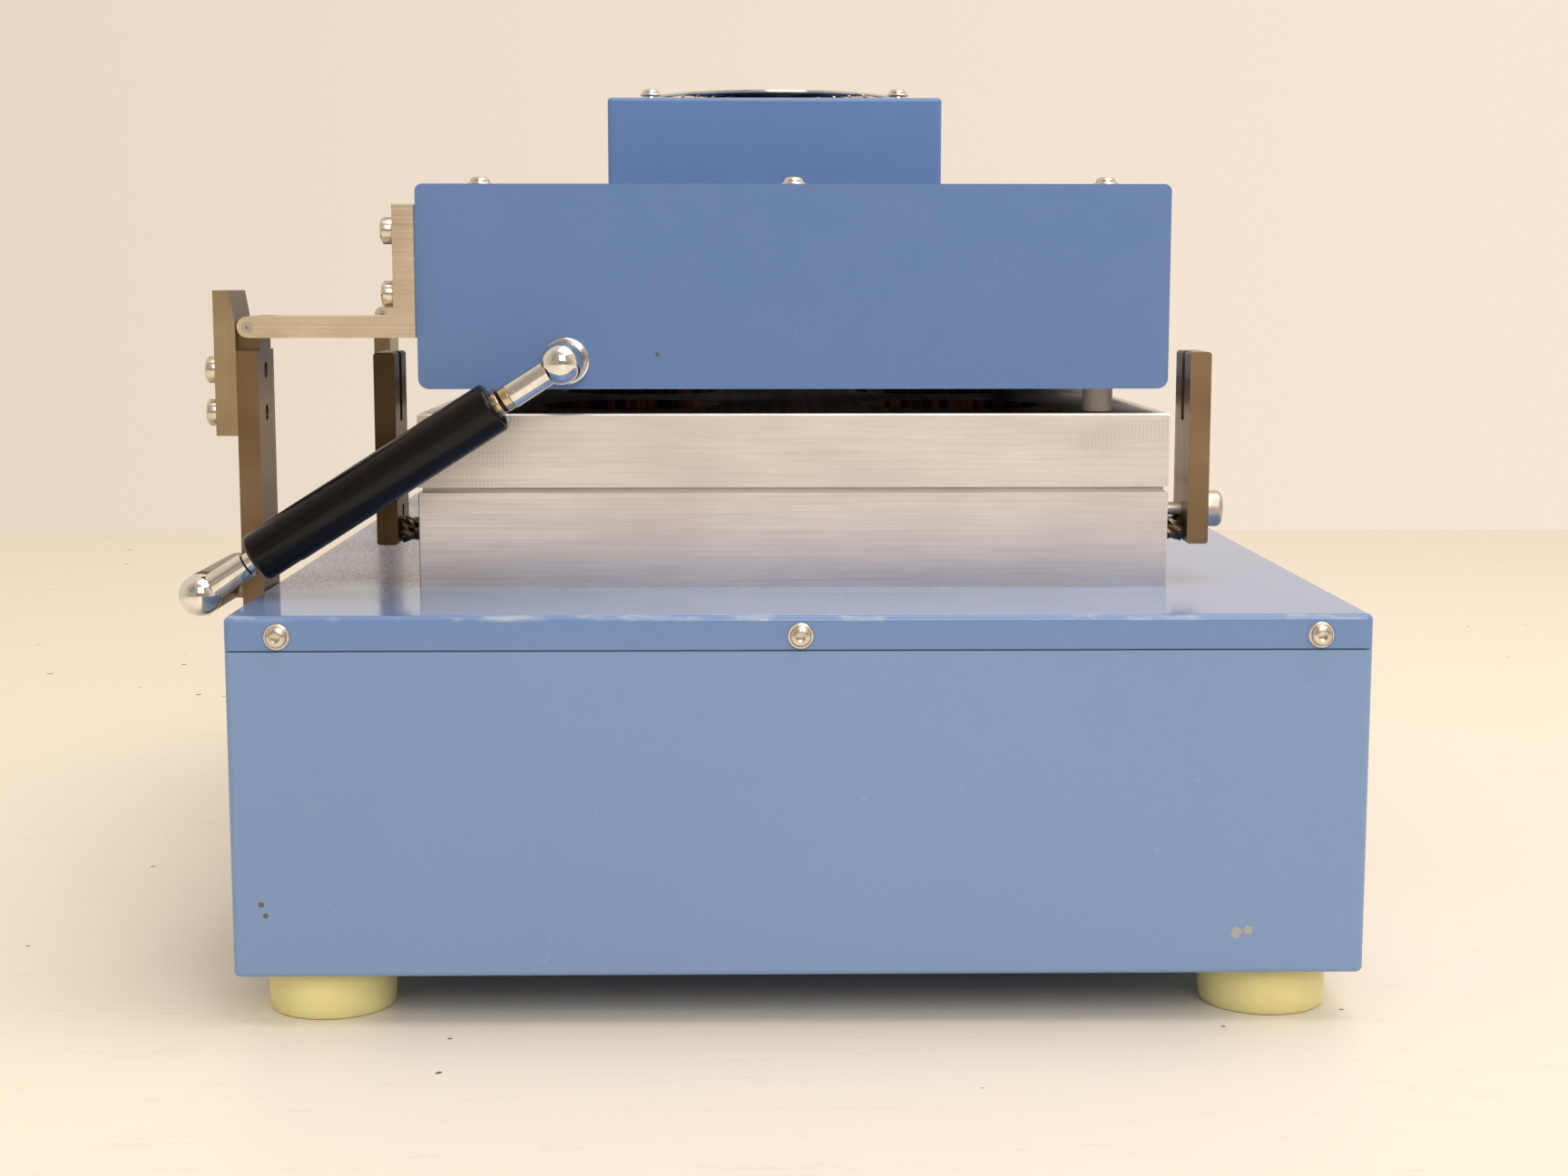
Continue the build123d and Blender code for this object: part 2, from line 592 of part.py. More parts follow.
def guide_bar(side):
    """A flat upright bar beside the blocks, with a slot and a pin hole near its top."""
    inner = BLOCK_SHIFT_X + side * (BLOCK_WIDTH / 2 + GUIDE_GAP)
    centre = inner + side * BAR_THICK / 2
    with BuildPart() as bar:
        with BuildSketch(Plane.XY.offset(GUIDE_FOOT)):
            with Locations((centre, GUIDE_Y)):
                Rectangle(BAR_THICK, BAR_DEPTH)
        extrude(amount=GUIDE_HEIGHT)
        chamfer(edges().filter_by(Axis.Y), 0.8)
        groove_z = GUIDE_FOOT + GUIDE_HEIGHT - GUIDE_GROOVE_LENGTH / 2
        with Locations((inner, GUIDE_Y, groove_z)):
            Box(
                2 * GUIDE_GROOVE_DEPTH,
                GUIDE_GROOVE_WIDTH,
                GUIDE_GROOVE_LENGTH + 1,
                mode=Mode.SUBTRACT,
            )
        with BuildSketch(Plane.YZ.offset(centre - BAR_THICK / 2)):
            with Locations((GUIDE_Y, GUIDE_FOOT + GUIDE_HEIGHT - GUIDE_PIN_DROP)):
                Circle(GUIDE_PIN_HOLE / 2)
            with Locations((GUIDE_Y, KNOB_Z)):
                Circle(KNOB_STEM_DIA / 2 + RUNNING)
        extrude(amount=BAR_THICK, mode=Mode.SUBTRACT)
    return bar.part


save(guide_bar(-1), "guide_bar_left")
save(guide_bar(1), "guide_bar_right")

with BuildPart() as guide_spacers:
    for side in (-1, 1):
        wall = BLOCK_SHIFT_X + side * BLOCK_WIDTH / 2
        with Locations(Plane((wall, GUIDE_Y, SPACER_Z), z_dir=(side, 0, 0)).location):
            Cylinder(GUIDE_SPACER_DIA / 2, GUIDE_GAP, align=ON_FOOT)
save(guide_spacers.part, "guide_spacers")

BAR_FACE_X = BLOCK_SHIFT_X + BLOCK_WIDTH / 2 + GUIDE_GAP + BAR_THICK
with BuildPart() as clamp_knob:
    with Locations(Plane((BAR_FACE_X + CLEAR, GUIDE_Y, KNOB_Z), z_dir=(1, 0, 0)).location):
        Cylinder(KNOB_DIA / 2, KNOB_LENGTH, align=ON_FOOT)
        Cylinder(KNOB_STEM_DIA / 2, BAR_THICK + GUIDE_GAP - 2, align=UNDER)
    fillet(edges().filter_by(GeomType.CIRCLE).group_by(Axis.X)[-1], 2.0)
save(clamp_knob.part, "clamp_knob")

# ----------------------------------------------------------------------- hinge
POST_X = -SIDE_X - BAR_THICK / 2
PLATE_X = -SIDE_X - 1.5 * BAR_THICK
PLATE_FACE = PLATE_X - BAR_THICK / 2
PLATE_TOP = PLATE_FOOT_Z + PLATE_HEIGHT
PLATE_SCREW_Z = [PLATE_FOOT_Z + rise for rise in PLATE_SCREW_RISES]


def hinge_post(y, plate_screw_z):
    """A flat bar on the base's hinge wall, ending in a narrower tongue that holds the pin."""
    with BuildPart() as post:
        with BuildSketch(Plane.XY.offset(POST_FOOT_Z)):
            with Locations((POST_X, y)):
                Rectangle(BAR_THICK, BAR_DEPTH)
        extrude(amount=POST_TOP_Z - POST_FOOT_Z)
        with BuildSketch(Plane.XZ.offset(-y - TONGUE_WIDTH / 2)):
            with Locations((POST_X, (POST_TOP_Z + PIVOT_Z) / 2)):
                Rectangle(BAR_THICK, PIVOT_Z - POST_TOP_Z)
            with Locations((PIVOT_X, PIVOT_Z)):
                Circle(ARM_THICK / 2)
        extrude(amount=TONGUE_WIDTH)
        with BuildSketch(Plane.XZ.offset(-y - BAR_DEPTH / 2)):
            with Locations((PIVOT_X, PIVOT_Z)):
                Circle(PIN_DIA / 2)
        extrude(amount=BAR_DEPTH, mode=Mode.SUBTRACT)
        for screw_z in plate_screw_z:
            with BuildSketch(Plane.YZ.offset(POST_X - BAR_THICK / 2)):
                with Locations((y, screw_z)):
                    Circle(M6_DIA / 2)
            extrude(amount=BAR_THICK, mode=Mode.SUBTRACT)
        with BuildSketch(Plane.YZ.offset(POST_X + BAR_THICK / 2)):
            with Locations(*[(y, z) for z in POST_SCREW_Z]):
                Circle(M6_DIA / 2)
        extrude(amount=-POST_TAP_DEPTH, mode=Mode.SUBTRACT)
    return post.part


def hinge_arm(y):
    """An angle whose level limb forks over the post's tongue and whose leg bolts to the cover."""
    under = PIVOT_Z - ARM_THICK / 2
    leg_left = COVER_LEFT - ARM_THICK
    with BuildPart() as arm:
        with BuildSketch(Plane.XZ.offset(-y - BAR_DEPTH / 2)):
            with Locations(((PIVOT_X + COVER_LEFT) / 2, PIVOT_Z)):
                Rectangle(COVER_LEFT - PIVOT_X, ARM_THICK)
            with Locations((PIVOT_X, PIVOT_Z)):
                Circle(ARM_THICK / 2 - 0.1)
            with Locations((leg_left + ARM_THICK / 2, under + ARM_LEG_HEIGHT / 2)):
                Rectangle(ARM_THICK, ARM_LEG_HEIGHT)
        extrude(amount=BAR_DEPTH)
        with Locations((PIVOT_X + FORK_REACH, y, PIVOT_Z)):
            Box(
                2 * FORK_REACH + 2,
                TONGUE_WIDTH + 2 * CHEEK_GAP,
                2 * ARM_THICK,
                align=(Align.MAX, Align.CENTER, Align.CENTER),
                mode=Mode.SUBTRACT,
            )
        with BuildSketch(Plane.XZ.offset(-y - BAR_DEPTH / 2)):
            with Locations((PIVOT_X, PIVOT_Z)):
                Circle(PIN_DIA / 2 + RUNNING)
        extrude(amount=BAR_DEPTH, mode=Mode.SUBTRACT)
        with BuildSketch(Plane.YZ.offset(leg_left)):
            with Locations(*[(y, under + rise) for rise in ARM_SCREW_RISES]):
                Circle(M6_DIA / 2 + SCREW_PLAY)
        extrude(amount=ARM_THICK, mode=Mode.SUBTRACT)
    return arm.part


for y, screw_rows, end in ((BAR_Y, PLATE_SCREW_Z, "front"), (REAR_BAR_Y, [], "rear")):
    save(hinge_post(y, screw_rows), f"hinge_post_{end}")
    save(hinge_arm(y), f"hinge_arm_{end}")

# The stop plate stands outside the front post; its bevel is where the open arm rests.
PLATE_INNER = PLATE_X + BAR_THICK / 2
PLATE_OUTLINE = [
    (PLATE_FACE, PLATE_FOOT_Z),
    (PLATE_INNER, PLATE_FOOT_Z),
    (PLATE_INNER, PIVOT_Z + BEVEL_START_RISE),
    (PLATE_INNER - PLATE_BEVEL, PLATE_TOP),
    (PLATE_FACE, PLATE_TOP),
]
with BuildPart() as hinge_plate:
    with BuildSketch(Plane.XZ.offset(-BAR_Y - BAR_DEPTH / 2)):
        with BuildLine():
            Polyline(*PLATE_OUTLINE, close=True)
        make_face()
    extrude(amount=BAR_DEPTH)
    with BuildSketch(Plane.YZ.offset(PLATE_FACE)):
        with Locations(*[(BAR_Y, z) for z in PLATE_SCREW_Z]):
            Circle(M6_DIA / 2 + SCREW_PLAY)
    extrude(amount=BAR_THICK, mode=Mode.SUBTRACT)
save(hinge_plate.part, "hinge_plate_front")

PIN_ENDS = facing((0, 1, 0), [(PIVOT_X, y - BAR_DEPTH / 2, PIVOT_Z) for y in HINGE_ROWS])
CENTRE_DRILL = (0.8, 3.0)
with BuildPart() as hinge_pins:
    with Locations(*PIN_ENDS):
        Cylinder(PIN_DIA / 2, BAR_DEPTH, align=ON_FOOT)
        Cylinder(*CENTRE_DRILL, align=ON_FOOT, mode=Mode.SUBTRACT)
save(hinge_pins.part, "hinge_pins")

WALL_INNER = -SIDE_X + SHELL_WALL
plate_places = facing((-1, 0, 0), [(PLATE_FACE, BAR_Y, z) for z in PLATE_SCREW_Z])
post_places = facing((1, 0, 0), [(WALL_INNER, y, z) for y in HINGE_ROWS for z in POST_SCREW_Z])
with BuildPart() as hinge_screws:
    add(m6_screws(plate_places, 2 * BAR_THICK - 2))
    add(m6_screws(post_places, SHELL_WALL + POST_TAP_DEPTH - 0.5))
save(hinge_screws.part, "hinge_screws")

ARM_FACE = COVER_LEFT - ARM_THICK
ARM_FOOT = PIVOT_Z - ARM_THICK / 2
ARM_HOLES = [(y, ARM_FOOT + rise) for y in HINGE_ROWS for rise in ARM_SCREW_RISES]
arm_places = facing((-1, 0, 0), [(ARM_FACE, y, z) for y, z in ARM_HOLES])
save(m6_screws(arm_places, ARM_THICK + COVER_WALL + 4), "hinge_arm_screws")

# ------------------------------------------------------------------- fan cover
FAN_SPOT = (FAN_SHIFT_X, 0)
COVER_SCREW_Y = COVER_LENGTH / 2 - COVER_SCREW_SETBACK
COVER_SCREW_SPOTS = [
    (COVER_SHIFT_X + ix * COVER_SCREW_PITCH, iy * COVER_SCREW_Y, COVER_TOP)
    for ix in (-1, 0, 1)
    for iy in (-1, 1)
]
COVER_SCREWS = facing((0, 0, 1), COVER_SCREW_SPOTS)

with BuildPart() as cover_shell:
    with BuildSketch(Plane.XZ.offset(-COVER_LENGTH / 2)):
        with Locations((COVER_SHIFT_X, COVER_FOOT + COVER_HEIGHT / 2)):
            Rectangle(COVER_WIDTH, COVER_HEIGHT)
        fillet(vertices().group_by(Axis.Y)[0], COVER_FOOT_RADIUS)
        fillet(vertices().group_by(Axis.Y)[-1], COVER_TOP_RADIUS)
    extrude(amount=COVER_LENGTH)
    with BuildSketch(Plane.XY.offset(COVER_FOOT + COVER_WALL)):
        with Locations((COVER_SHIFT_X, 0)):
            Rectangle(COVER_WIDTH - 2 * COVER_WALL, COVER_LENGTH - 2 * COVER_WALL)
    extrude(amount=COVER_HEIGHT - 2 * COVER_WALL, mode=Mode.SUBTRACT)
    with BuildSketch(Plane.XY.offset(COVER_FOOT)):
        with Locations((COVER_SHIFT_X, 0)):
            RectangleRounded(COVER_WIDTH - 2 * COVER_LIP, COVER_LENGTH - 2 * COVER_LIP, 6)
    extrude(amount=COVER_WALL, mode=Mode.SUBTRACT)
    with BuildSketch(Plane.XY.offset(COVER_TOP - COVER_WALL)):
        with Locations(FAN_SPOT):
            Circle(FAN_BORE / 2)
    extrude(amount=COVER_WALL, mode=Mode.SUBTRACT)
    with BuildSketch(Plane.YZ.offset(COVER_LEFT)):
        with Locations(*ARM_HOLES):
            Circle(M6_DIA / 2 + SCREW_PLAY)
    extrude(amount=COVER_WALL, mode=Mode.SUBTRACT)
    with Locations(*COVER_SCREWS):
        Cylinder(M4_DIA / 2 + SCREW_PLAY, COVER_WALL, align=UNDER, mode=Mode.SUBTRACT)
save(cover_shell.part, "cover_shell")
save(flanged_screws(COVER_SCREWS, COVER_WALL + 4), "cover_screws")

GUARD_SCREW_SPOTS = [
    (FAN_SHIFT_X + ix * FAN_SCREW_PITCH / 2, iy * FAN_SCREW_PITCH / 2)
    for ix in (-1, 1)
    for iy in (-1, 1)
]
with BuildPart() as fan_box:
    with BuildSketch(Plane.XY.offset(COVER_TOP)):
        with Locations(FAN_SPOT):
            RectangleRounded(FAN_BOX_SIZE, FAN_BOX_SIZE, 2)
    extrude(amount=FAN_BOX_HEIGHT)
    fillet(faces().sort_by(Axis.Z)[-1].edges(), 1.6)
    with BuildSketch(Plane.XY.offset(COVER_TOP)):
        with Locations(FAN_SPOT):
            Rectangle(FAN_BOX_SIZE - 2 * COVER_WALL, FAN_BOX_SIZE - 2 * COVER_WALL)
    extrude(amount=FAN_BOX_HEIGHT - COVER_WALL, mode=Mode.SUBTRACT)
    with BuildSketch(Plane.XY.offset(FAN_BOX_TOP)):
        with Locations(FAN_SPOT):
            Circle(FAN_BORE / 2)
        with Locations(*GUARD_SCREW_SPOTS):
            Circle(M4_DIA / 2 + SCREW_PLAY)
    extrude(amount=-COVER_WALL, mode=Mode.SUBTRACT)
save(fan_box.part, "fan_box")

FAN_TOP = FAN_BOX_TOP - COVER_WALL
FAN_FOOT = FAN_TOP - FAN_DEPTH
SPIDER = 4.0
with BuildPart() as fan_frame:
    with BuildSketch(Plane.XY.offset(FAN_FOOT)):
        with Locations(FAN_SPOT):
            RectangleRounded(FAN_SIZE, FAN_SIZE, 6)
            Circle(FAN_BORE / 2, mode=Mode.SUBTRACT)
        with Locations(*GUARD_SCREW_SPOTS):
            Circle(M4_DIA / 2 + SCREW_PLAY, mode=Mode.SUBTRACT)
    extrude(amount=FAN_DEPTH)
    with BuildSketch(Plane.XY.offset(FAN_FOOT)):
        with Locations(FAN_SPOT):
            Circle(FAN_HUB_DIA / 2)
            with PolarLocations(0, 4, start_angle=45):
                with Locations((FAN_BORE / 4, 0)):
                    Rectangle(FAN_BORE / 2 + 4, 6)
    extrude(amount=SPIDER)
save(fan_frame.part, "fan_frame")

HUB_FOOT = FAN_FOOT + SPIDER + 1.0
HUB_HEIGHT = FAN_DEPTH - SPIDER - 3.0
BLADE_ROOT = 2.0
BLADE_THICK = 2.0
BLADE_CHORD = 32.0
BLADE_REACH = FAN_BORE / 2 - FAN_TIP_GAP - FAN_HUB_DIA / 2 + BLADE_ROOT
with BuildPart() as fan_rotor:
    with BuildSketch(Plane.XY.offset(HUB_FOOT)):
        with Locations(FAN_SPOT):
            Circle(FAN_HUB_DIA / 2)
    extrude(amount=HUB_HEIGHT)
    fillet(faces().sort_by(Axis.Z)[-1].edges(), 2.5)
    for blade in range(FAN_BLADES):
        turn = Location((FAN_SHIFT_X, 0, HUB_FOOT + HUB_HEIGHT / 2), (0, 0, blade * 360 / FAN_BLADES))
        pitch = Location((FAN_HUB_DIA / 2 - BLADE_ROOT, 0, 0), (FAN_BLADE_PITCH_DEG, 0, 0))
        with Locations(turn * pitch):
            Box(BLADE_REACH, BLADE_THICK, BLADE_CHORD, align=(Align.MIN, Align.CENTER, Align.CENTER))
    with BuildSketch(Plane.XY.offset(FAN_FOOT)):
        with Locations(FAN_SPOT):
            Circle(FAN_BORE / 2 - FAN_TIP_GAP)
    extrude(amount=FAN_DEPTH, mode=Mode.INTERSECT)
save(fan_rotor.part, "fan_rotor")

LEG_REACH = FAN_SCREW_PITCH / math.sqrt(2)
EYELET_DIA = 8.0
with BuildPart() as finger_guard:
    with BuildSketch(Plane.XY.offset(FAN_BOX_TOP)):
        with Locations(FAN_SPOT):
            with PolarLocations(0, 4, start_angle=45):
                with Locations((LEG_REACH / 2, 0)):
                    Rectangle(LEG_REACH, GUARD_WIRE)
            with PolarLocations(LEG_REACH, 4, start_angle=45):
                Circle(EYELET_DIA / 2)
            with PolarLocations(LEG_REACH, 4, start_angle=45):
                Circle(M4_DIA / 2 + SCREW_PLAY, mode=Mode.SUBTRACT)
    extrude(amount=GUARD_WIRE)
    for radius in GUARD_RINGS:
        with BuildSketch(Plane.XY.offset(FAN_BOX_TOP + GUARD_WIRE)):
            with Locations(FAN_SPOT):
                Circle(radius + GUARD_WIRE / 2)
                Circle(radius - GUARD_WIRE / 2, mode=Mode.SUBTRACT)
        extrude(amount=GUARD_WIRE)
save(finger_guard.part, "finger_guard")

guard_places = facing((0, 0, 1), [(x, y, FAN_BOX_TOP + GUARD_WIRE) for x, y in GUARD_SCREW_SPOTS])
save(flanged_screws(guard_places, FAN_DEPTH / 2), "guard_screws")


# ------------------------------------------------------------------- gas strut
def on_strut(distance):
    """A location on the strut's axis, that far from the lower ball, facing the upper one."""
    return STRUT_PLANE.location * Pos(0, 0, distance)


SEAT_RADIUS = BALL_DIA / 2 + BALL_FIT
SEAT_PLACE = Plane(LOWER_BALL, z_dir=(0, 1, 0)).location * Pos(0, 0, -SEAT_RADIUS)
with BuildPart() as strut_lower_socket:
    with Locations(on_strut(0)):
        Sphere(SOCKET_DIA / 2)
    with Locations(on_strut(0)):
        Cylinder(SHANK_DIA / 2, LOWER_SHANK_END, align=ON_FOOT)
    chamfer(edges().filter_by(GeomType.CIRCLE).sort_by(Axis(LOWER_BALL, STRUT_PLANE.z_dir))[-1], 0.6)
    with Locations(SEAT_PLACE):
        Cone(SEAT_FLOOR_DIA / 2, SEAT_RADIUS, SEAT_TAPER, align=ON_FOOT, mode=Mode.SUBTRACT)
    with Locations(SEAT_PLACE * Pos(0, 0, SEAT_TAPER)):
        Cylinder(SEAT_RADIUS, SOCKET_DIA, align=ON_FOOT, mode=Mode.SUBTRACT)
    with Locations(on_strut(SOCKET_DIA / 2 + 2)):
        Cylinder(STUD_DIA / 2, LOWER_SHANK_END, align=ON_FOOT, mode=Mode.SUBTRACT)
save(strut_lower_socket.part, "strut_lower_socket")

PISTON_LENGTH = 8.0
with BuildPart() as strut_rod:
    with Locations(on_strut(SOCKET_DIA / 2 + 3)):
        Cylinder(STUD_DIA / 2, LOWER_SHANK_END - SOCKET_DIA / 2 - 3, align=ON_FOOT)
    with Locations(on_strut(LOWER_SHANK_END)):
        Cylinder(ROD_DIA / 2, ROD_END - LOWER_SHANK_END, align=ON_FOOT)
    with Locations(on_strut(ROD_END - PISTON_LENGTH)):
        Cylinder(TUBE_BORE / 2 - 2 * RUNNING, PISTON_LENGTH, align=ON_FOOT)
save(strut_rod.part, "strut_rod")

TUBE_CAP = 4.0
with BuildPart() as strut_tube:
    with Locations(on_strut(TUBE_START)):
        Cylinder(TUBE_NOSE_DIA / 2, TUBE_STEP - TUBE_START, align=ON_FOOT)
    with Locations(on_strut(TUBE_STEP)):
        Cylinder(TUBE_DIA / 2, TUBE_END - TUBE_STEP, align=ON_FOOT)
    strut_axis = Axis(LOWER_BALL, STRUT_PLANE.z_dir)
    fillet(edges().filter_by(GeomType.CIRCLE).sort_by(strut_axis)[0], 2.4)
    fillet(edges().filter_by(GeomType.CIRCLE).sort_by(strut_axis)[-1], 2.0)
    with Locations(on_strut(TUBE_STEP)):
        Cylinder(TUBE_BORE / 2, TUBE_END - TUBE_CAP - TUBE_STEP, align=ON_FOOT, mode=Mode.SUBTRACT)
    with Locations(on_strut(TUBE_START)):
        Cylinder(ROD_DIA / 2 + RUNNING, TUBE_STEP - TUBE_START, align=ON_FOOT, mode=Mode.SUBTRACT)
    with Locations(on_strut(TUBE_END)):
        Cylinder(SHANK_DIA / 2 - 0.5, UPPER_SHANK_START - TUBE_END, align=ON_FOOT)
    with Locations(on_strut(UPPER_SHANK_START)):
        Cylinder(STUD_DIA / 2, 8, align=ON_FOOT)
save(strut_tube.part, "strut_tube")

FLANGE_FRONT = COVER_FRONT - FLANGE_THICK
with BuildPart() as strut_upper_socket:
    with Locations(on_strut(STRUT_LENGTH)):
        Sphere(SOCKET_DIA / 2)
    with Locations(on_strut(UPPER_SHANK_START)):
        Cylinder(SHANK_DIA / 2, STRUT_LENGTH - UPPER_SHANK_START, align=ON_FOOT)
    with Locations(Plane(UPPER_BALL, z_dir=(0, 1, 0)).location):
        Cylinder(NECK_DIA / 2, FLANGE_FRONT - OPEN_PIVOT_GAP - STRUT_Y, align=ON_FOOT)
    with Locations(on_strut(UPPER_SHANK_START)):
        Cylinder(STUD_DIA / 2, 8, align=ON_FOOT, mode=Mode.SUBTRACT)
save(strut_upper_socket.part, "strut_upper_socket")

with BuildPart() as strut_flange:
    with Locations(Plane((UPPER_BALL_X, COVER_FRONT, UPPER_BALL_Z), z_dir=(0, -1, 0)).location):
        Cylinder(FLANGE_DIA / 2, FLANGE_THICK, align=ON_FOOT)
    chamfer(edges().filter_by(GeomType.CIRCLE).sort_by(Axis.Y)[0], 0.5)
save(strut_flange.part, "strut_flange")

ANCHOR_START = STRUT_Y + SOCKET_DIA / 2 + 0.8
ANCHOR_END = ANCHOR_START + ANCHOR_LENGTH
with BuildPart() as strut_anchor:
    with Locations(Plane(LOWER_BALL, z_dir=(0, 1, 0)).location):
        Sphere(BALL_DIA / 2)
        Cylinder(NECK_DIA / 2, ANCHOR_START - STRUT_Y + 1, align=ON_FOOT)
    with Locations(Plane((LOWER_BALL_X, ANCHOR_START, LOWER_BALL_Z), z_dir=(0, 1, 0)).location):
        Cylinder(ANCHOR_DIA / 2, ANCHOR_END - ANCHOR_START, align=ON_FOOT)
    with Locations(Plane((LOWER_BALL_X, BAR_Y, LOWER_BALL_Z), z_dir=(1, 0, 0)).location):
        Cylinder(M6_HEAD_DIA / 2 + 1, POST_X - BAR_THICK / 2 - LOWER_BALL_X, align=ON_FOOT)
save(strut_anchor.part, "strut_anchor")

# --------------------------------------------------------- panel and electrics
PANEL_X = SIDE_X + PANEL_FACE
KNOB_HOLE = SPINDLE_DIA + 1.0
ROCKER_RADIUS = SWITCH_HEIGHT / 2 - 0.5
ROCKER_X = SIDE_X - 3.0
TRUNNION_DIA = 3.0

with BuildPart() as control_panel:
    with BuildSketch(Plane.YZ.offset(SIDE_X)):
        with Locations((0, PANEL_Z)):
            RectangleRounded(PANEL_LENGTH, PANEL_HEIGHT, 5)
    extrude(amount=PANEL_FACE)
    with BuildSketch(Plane.YZ.offset(SIDE_X)):
        with Locations((0, PANEL_Z)):
            Rectangle(PANEL_CUT[0] - 1, PANEL_CUT[1] - 1)
    extrude(amount=-PANEL_DEPTH)
    with BuildSketch(Plane.YZ.offset(PANEL_X)):
        with Locations((DISPLAY_Y, PANEL_Z)):
            Rectangle(DISPLAY_LENGTH, DISPLAY_HEIGHT)
    extrude(amount=-PANEL_FACE, mode=Mode.SUBTRACT)
    with BuildSketch(Plane.YZ.offset(PANEL_X)):
        with Locations((KNOB_Y, PANEL_Z)):
            Circle(KNOB_HOLE / 2)
        with Locations((SWITCH_Y, PANEL_Z)):
            Rectangle(SWITCH_LENGTH, SWITCH_HEIGHT)
    extrude(amount=-PANEL_FACE - PANEL_DEPTH, mode=Mode.SUBTRACT)
    with Locations(Plane((ROCKER_X, SWITCH_Y - SWITCH_LENGTH / 2 - 2, PANEL_Z), z_dir=(0, 1, 0)).location):
        Cylinder(TRUNNION_DIA / 2 + RUNNING, SWITCH_LENGTH + 4, align=ON_FOOT, mode=Mode.SUBTRACT)
save(control_panel.part, "control_panel")

with BuildPart() as display_window:
    with BuildSketch(Plane.YZ.offset(SIDE_X)):
        with Locations((DISPLAY_Y, PANEL_Z)):
            Rectangle(DISPLAY_LENGTH - 0.2, DISPLAY_HEIGHT - 0.2)
    extrude(amount=PANEL_FACE - 0.5)
save(display_window.part, "display_window")

ROCKER_TILT = 9.0
ROCKER_FACE = [(-4, -13), (8.5, -13), (5.5, 0), (8.5, 13), (-4, 13)]
with BuildPart() as power_switch:
    with BuildSketch(Plane.XZ.offset(-SWITCH_Y - SWITCH_LENGTH / 2 + CLEAR)):
        with Locations((ROCKER_X, PANEL_Z)):
            Circle(ROCKER_RADIUS)
        with Locations(Location((ROCKER_X, PANEL_Z, 0), (0, 0, ROCKER_TILT))):
            Polygon(*ROCKER_FACE, align=None, mode=Mode.INTERSECT)
    extrude(amount=SWITCH_LENGTH - 2 * CLEAR)
    with Locations(Plane((ROCKER_X, SWITCH_Y - SWITCH_LENGTH / 2 - 1.6, PANEL_Z), z_dir=(0, 1, 0)).location):
        Cylinder(TRUNNION_DIA / 2, SWITCH_LENGTH + 3.2, align=ON_FOOT)
save(power_switch.part, "power_switch")

KNOB_BACK = PANEL_X + CLEAR + 0.1
BOARD_X = SIDE_X - 24.0
with BuildPart() as speed_knob:
    with Locations(Plane((KNOB_BACK, KNOB_Y, PANEL_Z), z_dir=(1, 0, 0)).location):
        Cone(SPEED_KNOB_DIA / 2, SPEED_KNOB_DIA / 2 - 2, SPEED_KNOB_LENGTH, align=ON_FOOT)
    fillet(edges().filter_by(GeomType.CIRCLE).sort_by(Axis.X)[-1], 1.5)
    with BuildSketch(Plane.YZ.offset(KNOB_BACK)):
        with Locations((KNOB_Y, PANEL_Z)):
            Circle(SPINDLE_DIA / 2 + RUNNING)
    extrude(amount=SPEED_KNOB_LENGTH - 4, mode=Mode.SUBTRACT)
    with Locations((KNOB_BACK + SPEED_KNOB_LENGTH, KNOB_Y, PANEL_Z + SPEED_KNOB_DIA / 4 + 2)):
        Box(1.6, 1.6, SPEED_KNOB_DIA / 4, mode=Mode.SUBTRACT)
save(speed_knob.part, "speed_knob")

with BuildPart() as control_board:
    with BuildSketch(Plane.YZ.offset(BOARD_X)):
        with Locations((-10, PANEL_Z - 4)):
            Rectangle(150, 56)
    extrude(amount=1.6)
    with Locations((BOARD_X - 6, 10, PANEL_Z - 8)):
        Box(12, 40, 24)
    with Locations(Plane((BOARD_X, KNOB_Y, PANEL_Z), z_dir=(1, 0, 0)).location):
        Cylinder(8, 11, align=ON_FOOT)
        Cylinder(SPINDLE_DIA / 2, KNOB_BACK + SPEED_KNOB_LENGTH - 5 - BOARD_X, align=ON_FOOT)
save(control_board.part, "control_board")

with BuildPart() as power_supply:
    with BuildSketch(Plane.XY.offset(FOOT_HEIGHT + SHELL_WALL)):
        with Locations((40, 150)):
            RectangleRounded(98, 160, 3)
    extrude(amount=40)
save(power_supply.part, "power_supply")

